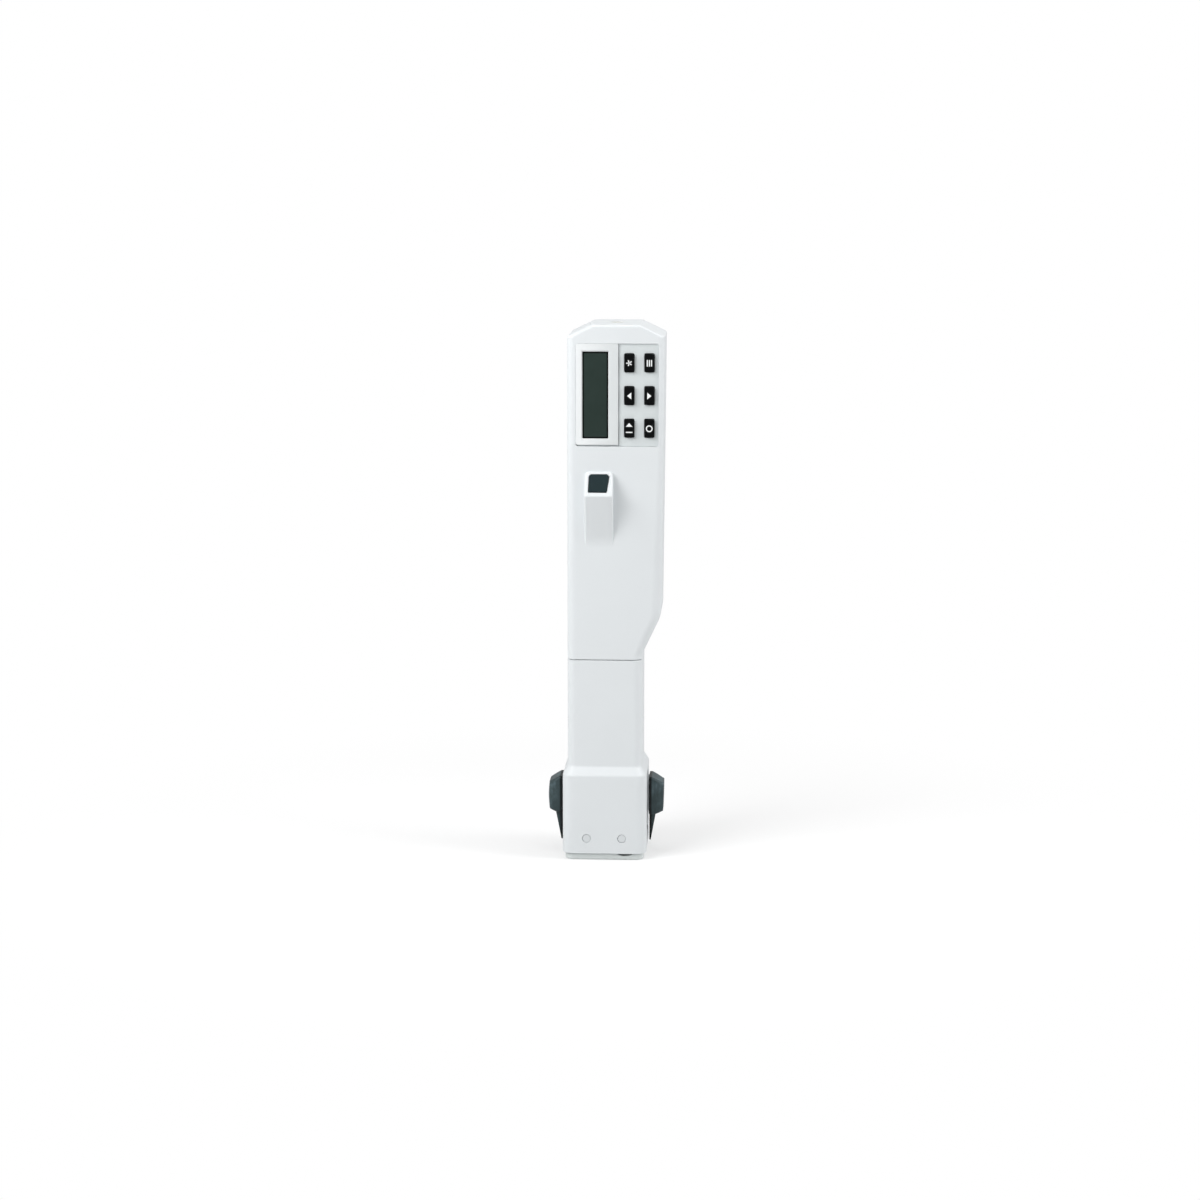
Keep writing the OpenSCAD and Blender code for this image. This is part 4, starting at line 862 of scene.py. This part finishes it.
LIP_R = 0.7
pod_levels = [(z, pod_front(z)) for z in turn_levels(foot_z, POD_SOFT, 8)]
pod_levels += [
    (lip_z - LIP_R, pod_front(lip_z - LIP_R)), (lip_z - 0.3, lip_y + 0.17), (lip_z, lip_y + 0.2),
    (lip_z + 0.3, lip_y + 0.33), (lip_z + LIP_R, lip_y + LIP_R * math.tan(tilt) + 0.04),
]
pod_crown = [(-1.1, 0.0), (-0.6, 0.12), (-0.2, 0.42), (0.1, 0.8), (0.3, 1.3)]
pod_levels += [(pod_top_z + up, pod_top_y + up * math.tan(tilt), inset) for up, inset in pod_crown]
pod_levels.append((pod_top_z + 0.45, -grip_half_y + 0.3, 1.9))
front = cut(head_form(0), half_space(0, 99))
join(front, stack("pod", [pod_ring(*level) for level in pod_levels]))
cut(front, head_form(WALL))
backing = block(
    (recess[0] - BACKING_OUT, recess[1] + BACKING_OUT),
    (WALL - grip_half_y - BACKING_OUT, recess_floor + BACKING_T),
    (recess[2] - BACKING_OUT, recess[3] + BACKING_OUT),
)
join(front, backing)
join(front, prism("boss", rounded(-6, 6, -6, 6, 1, steps=2), 0, 3.4, at_trigger(7.2)))
recess_levels = [(-recess_floor, 0)]
recess_levels += [(grip_half_y + up, out) for up, out in ((-0.12, 0), (-0.04, 0.04), (0.2, 0.3))]
window_x = (window_low.x + WINDOW_LEDGE, window_high.x - WINDOW_LEDGE)
window_z = (window_low.z + WINDOW_LEDGE, window_high.z - WINDOW_LEDGE)
cut(
    front,
    stack("recess", [at_level(recess_outline(out), level) for level, out in recess_levels], FORWARD),
    block(window_x, THROUGH_FRONT, window_z),
    prism("pocket", trigger_outline(KEY_GAP), 0, 12, at_trigger(POCKET_DEPTH)),
    disc(SPRING_HOLE_R, SPRING_HOLE_FOOT, 1, at_trigger(), 8),
    disc(JACK_HOLE_R, -4, 4, jack_hole),
)
half_x, half_z = KEY_W / 2 + KEY_GAP, KEY_H / 2 + KEY_GAP
for key in KEYS.values():
    cut(front, block((key.x - half_x, key.x + half_x), THROUGH_FRONT, (key.z - half_z, key.z + half_z)))
smooth(front)
finish_piece(front, "head_front", body_plastic, "housing", "body_plastic", "front_shell")


# ---------------------------------------------------------------- display
# A panel in a slightly brighter grey that fills the left of the recess, with a bevelled window.
# A dark glossy pane lies behind the bevel, and the display module behind the pane, switched off.

BEVEL = 0.5
PANE_GAP = 0.075
PANE_SHADE_RIM = 0.7
panel_face = -panel_low.y


def chamfered(name, edges, radii, levels):
    """A plate with its own radius at each corner, drawn in by a distance at each level."""
    x0, x1, z0, z1 = edges
    places = ((x0, z0, 1, 1), (x1, z0, -1, 1), (x1, z1, -1, -1), (x0, z1, 1, -1))
    rings = []
    for level, d in levels:
        corners = [(x + sx * d, z + sz * d, r) for (x, z, sx, sz), r in zip(places, radii)]
        rings.append(at_level(rounded_outline(corners), level))
    return stack(name, rings, FORWARD)


panel = chamfered(
    "panel", (panel_low.x - 0.07, panel_high.x + 0.03, panel_low.z, panel_high.z + 0.07),
    (0.8, 0.3, 0.3, 0.85),
    ((-panel_high.y, 0), (panel_face - 0.12, 0), (panel_face - 0.04, 0.04), (panel_face, 0.12)),
)
x0, x1 = window_low.x - PANE_GAP, window_high.x + PANE_GAP
z0, z1 = window_low.z - PANE_GAP, window_high.z + PANE_GAP
mouth = [
    at_level(rounded(x0 - d, x1 + d, z0 - d, z1 + d, 0.3, steps=3), level)
    for level, d in ((panel_face - 5, 0), (panel_face - BEVEL, 0), (panel_face + 0.2, BEVEL + 0.2))
]
smooth(cut(panel, stack("mouth", mouth, FORWARD)))
panel_plastic = moulded("panel_plastic", linear(218, 221, 222), 0.4, 0.35, 0.004, 0.015)
# Painted light: the panel's colour runs from paler on the left to darker on the right, as the light falls
# from the left.
wire = Wire(panel_plastic.node_tree)
across = wire.node("SeparateXYZ", None, {"Vector": wire.node("TexCoord", output=3)})
painted_light_falloff = across.between(panel_low.x * MM, panel_high.x * MM)
painted_light_falloff = painted_light_falloff.blend(tinted(linear(228, 231, 232)), tinted(linear(210, 214, 215)))
feed(panel_plastic.node_tree.nodes["Principled BSDF"], "Base Color", painted_light_falloff)
finish_piece(panel, "display_surround", panel_plastic, "housing", "panel_plastic", "display_panel")


def pane_finish(name):
    """A dark pane: a near-black rim of painted shade round the switched-off display, which has a green
    tinge.
    """
    made, shader, wire = new_finish(name, Specular_IOR_Level=0.1, Coat_IOR=1.45, Coat_Roughness=0.08)
    place = wire.node("TexCoord", output=3)
    x, z = (wire.node("SeparateXYZ", None, {"Vector": place}, output=i) for i in (0, 2))
    # Painted shade: the pane is painted near black in a narrow rim along its edge, where the bevel shades
    # it.
    inside = 1
    for axis, low, high in ((x, window_low.x, window_high.x), (z, window_low.z, window_high.z)):
        inside = axis.between((low + PANE_SHADE_RIM - 0.1) * MM, (low + PANE_SHADE_RIM) * MM) * inside
        inside = (1 - axis.between((high - PANE_SHADE_RIM) * MM, (high - PANE_SHADE_RIM + 0.1) * MM)) * inside
    cloud = wire.noise(place, 7, detail=3)
    cells = cloud.blend(tinted(linear(37, 49, 45)), tinted(linear(44, 56, 52)))
    feed(shader, "Base Color", inside.blend(tinted(linear(3, 5, 5)), cells))
    feed(shader, "Roughness", cloud * 0.06 + 0.22)
    feed(shader, "Coat Weight", inside * 0.12)
    return made


pane_outline = rounded(window_low.x, window_high.x, window_low.z, window_high.z, 0.25, steps=3)
pane = prism("pane", pane_outline, -window_high.y, -window_low.y, FORWARD)
soften(pane, 0.06, 2, 40)
pane_plastic = pane_finish("display_window")
finish_piece(pane, "display_pane", pane_plastic, "housing", "display_window", "display_window")
dress(moulded("lcd_bezel", linear(64, 70, 70), 0.45), "lcd_module")


# ---------------------------------------------------------------- keypad
# A thin plate in the recess beside the display, and six near-black rubber keys that stand out
# of it. Each key is printed in white: star, three bars, two arrows, a step sign and a ring.
# Their flanges lie behind the shell on a silicone mat with one dome for each key.

plate_face = -plate_low.y
keypad = chamfered(
    "keypad", (plate_low.x - 0.06, plate_high.x + 0.07, plate_low.z - 0.07, plate_high.z + 0.07),
    (0.3, 1.15, 0.55, 0.3), ((-plate_high.y, 0), (plate_face - 0.1, 0), (plate_face, 0.1)),
)
for key in KEYS.values():
    hole = rounded(key.x - half_x, key.x + half_x, key.z - half_z, key.z + half_z, 0.7, steps=4)
    cut(keypad, prism("hole", hole, -plate_high.y - 1, 30, FORWARD))
soften(keypad, 0.1, 2)
plate_plastic = moulded("keypad_plate", linear(209, 215, 216), 0.42, 0.3, 0.005, 0.02)
finish_piece(keypad, "keypad_cover", plate_plastic, "housing", "keypad_plate", "keypad_plate")

key_rubber = moulded("key_rubber", linear(4, 5, 6), 0.62, 0.2, 0.008, 0.15, Specular_IOR_Level=0.08)
white_print = moulded("key_print", linear(240, 242, 242), 0.5, 0.15, 0.002, 0.02)
INK = 0.04
RING_SIGN_R = (1.55, 1.05)


def bar(x0, x1, z0, z1):
    return [(x0, z0), (x1, z0), (x1, z1), (x0, z1)]


def turned_outline(outline, degrees):
    c, s = math.cos(math.radians(degrees)), math.sin(math.radians(degrees))
    return [(x * c - z * s, x * s + z * c) for x, z in outline]


def arrow(x, z, half, height, degrees):
    """A triangle that points up before it is turned."""
    flat = turned_outline([(-half, -height / 2), (half, -height / 2), (0, height / 2)], degrees)
    return [(x + a, z + b) for a, b in flat]


ring_steps = [math.radians(15 * i) for i in range(24)]
SIGNS = {
    "star": [turned_outline(bar(-0.24, 0.24, -0.1, 1.35), 72 * i + 90) for i in range(5)],
    "menu": [bar(x - 0.24, x + 0.24, -1.5, 1.5) for x in (-0.95, 0, 0.95)],
    "back": [arrow(0, 0, 1.55, 1.9, 90)],
    "next": [arrow(0, 0, 1.55, 1.9, -90)],
    "step": [arrow(0, 1.7, 1.55, 1.75, 0), bar(-1.5, 1.5, -1.95, -1.45)],
    "ring": [],
}


def annulus(name, outer, inner, z0, z1, place):
    """A flat ring, skinned over its four round edges."""
    edges = ((outer, z0), (outer, z1), (inner, z1), (inner, z0))
    rings = [[(r * math.cos(a), r * math.sin(a), z) for a in ring_steps] for r, z in edges]
    count = len(ring_steps)
    faces = []
    for k in range(4):
        for i in range(count):
            j, nxt = (i + 1) % count, (k + 1) % 4
            faces.append([k * count + i, k * count + j, nxt * count + j, nxt * count + i])
    return solid(name, [p for ring in rings for p in ring], faces, place)


half_x, half_z = KEY_W / 2, KEY_H / 2
for name, key in KEYS.items():
    low, high = span("key_" + name)
    cap_levels = [
        (-high.y + 0.2, 0, 0.6), (-low.y - 0.62, 0, 0.6), (-low.y - 0.32, 0.07, 0.56),
        (-low.y - 0.12, 0.2, 0.5), (-low.y - 0.03, 0.36, 0.42), (-low.y, 0.6, 0.35),
    ]
    cap_rings = [
        at_level(rounded(d - half_x, half_x - d, d - half_z, half_z - d, r, steps=6), level)
        for level, d, r in cap_levels
    ]
    cap = stack("cap", cap_rings, Matrix.Translation((key.x, 0, key.z)) @ FORWARD)
    join(cap, block((low.x, high.x), (high.y - 0.8, high.y), (low.z, high.z)))
    soften(cap, 0.06, 2, 35)
    body = "key_" + name + "_body"
    finish_piece(cap, "key_cap_" + name, key_rubber, body, "key_rubber", "key_" + name)
    place = Matrix.Translation((key.x, low.y, key.z)) @ FORWARD
    signs = [prism("sign", outline, -INK, INK / 2, place) for outline in SIGNS[name]]
    if not signs:
        signs = [annulus("sign", *RING_SIGN_R, -INK, INK / 2, place)]
    sign = join(signs[0], *signs[1:]) if len(signs) > 1 else signs[0]
    finish_piece(sign, "print_" + name, white_print, body, "key_rubber")

dress(moulded("silicone", linear(196, 197, 190), 0.5), "keypad_mat")
dress(circuit_board("circuit_board", linear(30, 88, 56)), "main_board")
dress(moulded("chip_plastic", linear(38, 40, 42), 0.4), "board_components")


# ---------------------------------------------------------------- dispensing key
# The key in the pod's slanted face that sets off each dose: a dark cap with cut corners and
# softened edges, on a sprung stem that ends over a switch on the main board.

trigger_plastic = moulded(
    "trigger_plastic", linear(29, 43, 46), 0.5, 0.3, 0.005, 0.08, Specular_IOR_Level=0.12
)
PROUD = 0.6
CAP_FOOT = -2.4
STEM_R, STEM_TIP_R = 1.5, 2.3
STEM_FOOT, STEM_TIP_TOP = -7.85, -7.25
cap_levels = [(CAP_FOOT, 0)]
cap_levels += [(PROUD + up, d) for up, d in ((-0.45, 0), (-0.2, 0.08), (-0.06, 0.22), (0, 0.42))]
trigger = stack("trigger", [at_level(trigger_outline(-d, 0.3), z) for z, d in cap_levels], at_trigger())
cut(trigger, disc(SPRING_HOLE_R, -3, -0.8, at_trigger(), 8))
join(
    trigger,
    disc(STEM_R, STEM_FOOT, -0.5, at_trigger(), 6),
    disc(STEM_TIP_R, STEM_FOOT, STEM_TIP_TOP, at_trigger(), 6),
)
soften(trigger, 0.08, 2)
finish_piece(
    trigger, "dispensing_key_cap", trigger_plastic,
    "dispensing_key_body", "trigger_plastic", "dispensing_key",
)


def coil(name, radius, wire_r, z0, z1, turns, place, steps=20):
    """A spring of round wire, between the middles of its first and its last turn."""
    rings = []
    for i in range(turns * steps + 1):
        turned, z = 2 * math.pi * i / steps, z0 + (z1 - z0) * i / (turns * steps)
        ring = []
        for k in range(8):
            out, up = radius + wire_r * math.cos(math.pi / 4 * k), wire_r * math.sin(math.pi / 4 * k)
            ring.append((out * math.cos(turned), out * math.sin(turned), z - up))
        rings.append(ring)
    return stack(name, rings, place)


COIL_R, COIL_WIRE_R, COIL_TURNS = 2.45, 0.3, 3
COIL_FOOT, COIL_TOP = -6.1, -2.7
key_spring = coil("key_spring", COIL_R, COIL_WIRE_R, COIL_FOOT, COIL_TOP, COIL_TURNS, at_trigger())
smooth(key_spring, 50)
finish_piece(
    key_spring, "dispensing_key_coil", spring_steel, "housing", "spring_steel", "dispensing_key_spring"
)


# ---------------------------------------------------------------- floor, light and camera
# A pale floor that runs out to a white surround, soft lamps at both sides with weak ones above
# and behind, and the camera a little above the head, looking slightly down.

FLOOR_HALF = 6.0
floor_mesh = bpy.data.meshes.new("floor")
floor_corners = [(x * FLOOR_HALF, y * FLOOR_HALF, 0) for x, y in ((-1, -1), (1, -1), (1, 1), (-1, 1))]
floor_mesh.from_pydata(floor_corners, [], [[0, 1, 2, 3]])
floor = bpy.data.objects.new("floor", floor_mesh)
bpy.context.scene.collection.objects.link(floor)
floor_paint = bpy.data.materials.new("floor_paint")
floor_paint.use_nodes = True
tree = floor_paint.node_tree
wire = Wire(tree)
matt = tree.nodes["Principled BSDF"]
matt.inputs["Roughness"].default_value = 0.9
matt.inputs["Specular IOR Level"].default_value = 0.1
glow = tree.nodes.new("ShaderNodeEmission")
seen = wire.node("LightPath")
feed(matt, "Base Color", seen.blend((0.72, 0.72, 0.72, 1.0), (0.93, 0.93, 0.93, 1.0)))
mixed = tree.nodes.new("ShaderNodeMixShader")
place = wire.node("TexCoord", output=3)
far = wire.node("VectorMath", {"operation": "LENGTH"}, {0: place}, output=1).between(0.04, 0.3)
share = seen * (far * 0.65 + 0.35)
tree.links.new(share.socket, mixed.inputs[0])
tree.links.new(matt.outputs[0], mixed.inputs[1])
tree.links.new(glow.outputs[0], mixed.inputs[2])
tree.links.new(mixed.outputs[0], tree.nodes["Material Output"].inputs["Surface"])
floor_mesh.materials.append(floor_paint)

world = bpy.data.worlds.new("surround")
bpy.context.scene.world = world
world.use_nodes = True
rays = ("Is Camera Ray", "Is Glossy Ray", "Is Transmission Ray")
direct, mirror, through = (Wire(world.node_tree).node("LightPath", output=ray) for ray in rays)
DAYLIGHT, MIRRORED = 0.565, 0.6
strength = (direct + through) * (1 - DAYLIGHT) + mirror * (MIRRORED - DAYLIGHT) + DAYLIGHT
background = world.node_tree.nodes["Background"]
background.inputs["Color"].default_value = (1, 1, 1, 1)
world.node_tree.links.new(strength.socket, background.inputs["Strength"])


def lamp(name, place, aim, width, height, watts):
    light = bpy.data.lights.new(name, "AREA")
    light.shape = "RECTANGLE"
    light.size, light.size_y = width, height
    light.energy = watts
    made = bpy.data.objects.new(name, light)
    made.location = place
    made.rotation_euler = (Vector(aim) - Vector(place)).to_track_quat("-Z", "Y").to_euler()
    bpy.context.scene.collection.objects.link(made)


middle = (0, 0, 0.13)
lamp("key_lamp", (-0.3, -0.3, 0.42), (0, 0, 0.18), 0.3, 0.3, 1.4)
lamp("left_lamp", (-0.45, -0.25, 0.55), (0, 0, 0.18), 0.4, 0.4, 0.8)
lamp("right_lamp", (1.1, -0.1, 0.6), middle, 0.7, 1.0, 2.8)
lamp("near_right_lamp", (0.45, -0.1, 0.5), (0, 0, 0.16), 0.25, 0.25, 1.05)
lamp("back_lamp", (0.3, 1.1, 0.6), middle, 0.7, 0.7, 0.4)
lamp("top_lamp", (0.0, -0.05, 0.75), middle, 0.4, 0.4, 0.3)

CAMERA_D, CAMERA_H = 1.330, 0.343
CAMERA_PITCH = 9.57
CAMERA_TURN = 3.0
CAMERA_X0 = -0.00302
FOCAL_PX, PICTURE_PX = 2907.9, 1200
SENSOR = 36
turn, pitch = math.radians(CAMERA_TURN), math.radians(CAMERA_PITCH)
camera_data = bpy.data.cameras.new("camera")
camera_data.sensor_width = SENSOR
camera_data.lens = FOCAL_PX / PICTURE_PX * SENSOR
camera = bpy.data.objects.new("camera", camera_data)
camera.location = (
    CAMERA_X0 * math.cos(turn) + CAMERA_D * math.sin(turn),
    CAMERA_X0 * math.sin(turn) - CAMERA_D * math.cos(turn),
    CAMERA_H,
)
look = Vector((-math.sin(turn) * math.cos(pitch), math.cos(turn) * math.cos(pitch), -math.sin(pitch)))
camera.rotation_euler = look.to_track_quat("-Z", "Y").to_euler()
bpy.context.scene.collection.objects.link(camera)
bpy.context.scene.camera = camera
bpy.context.scene.view_settings.view_transform = "Standard"
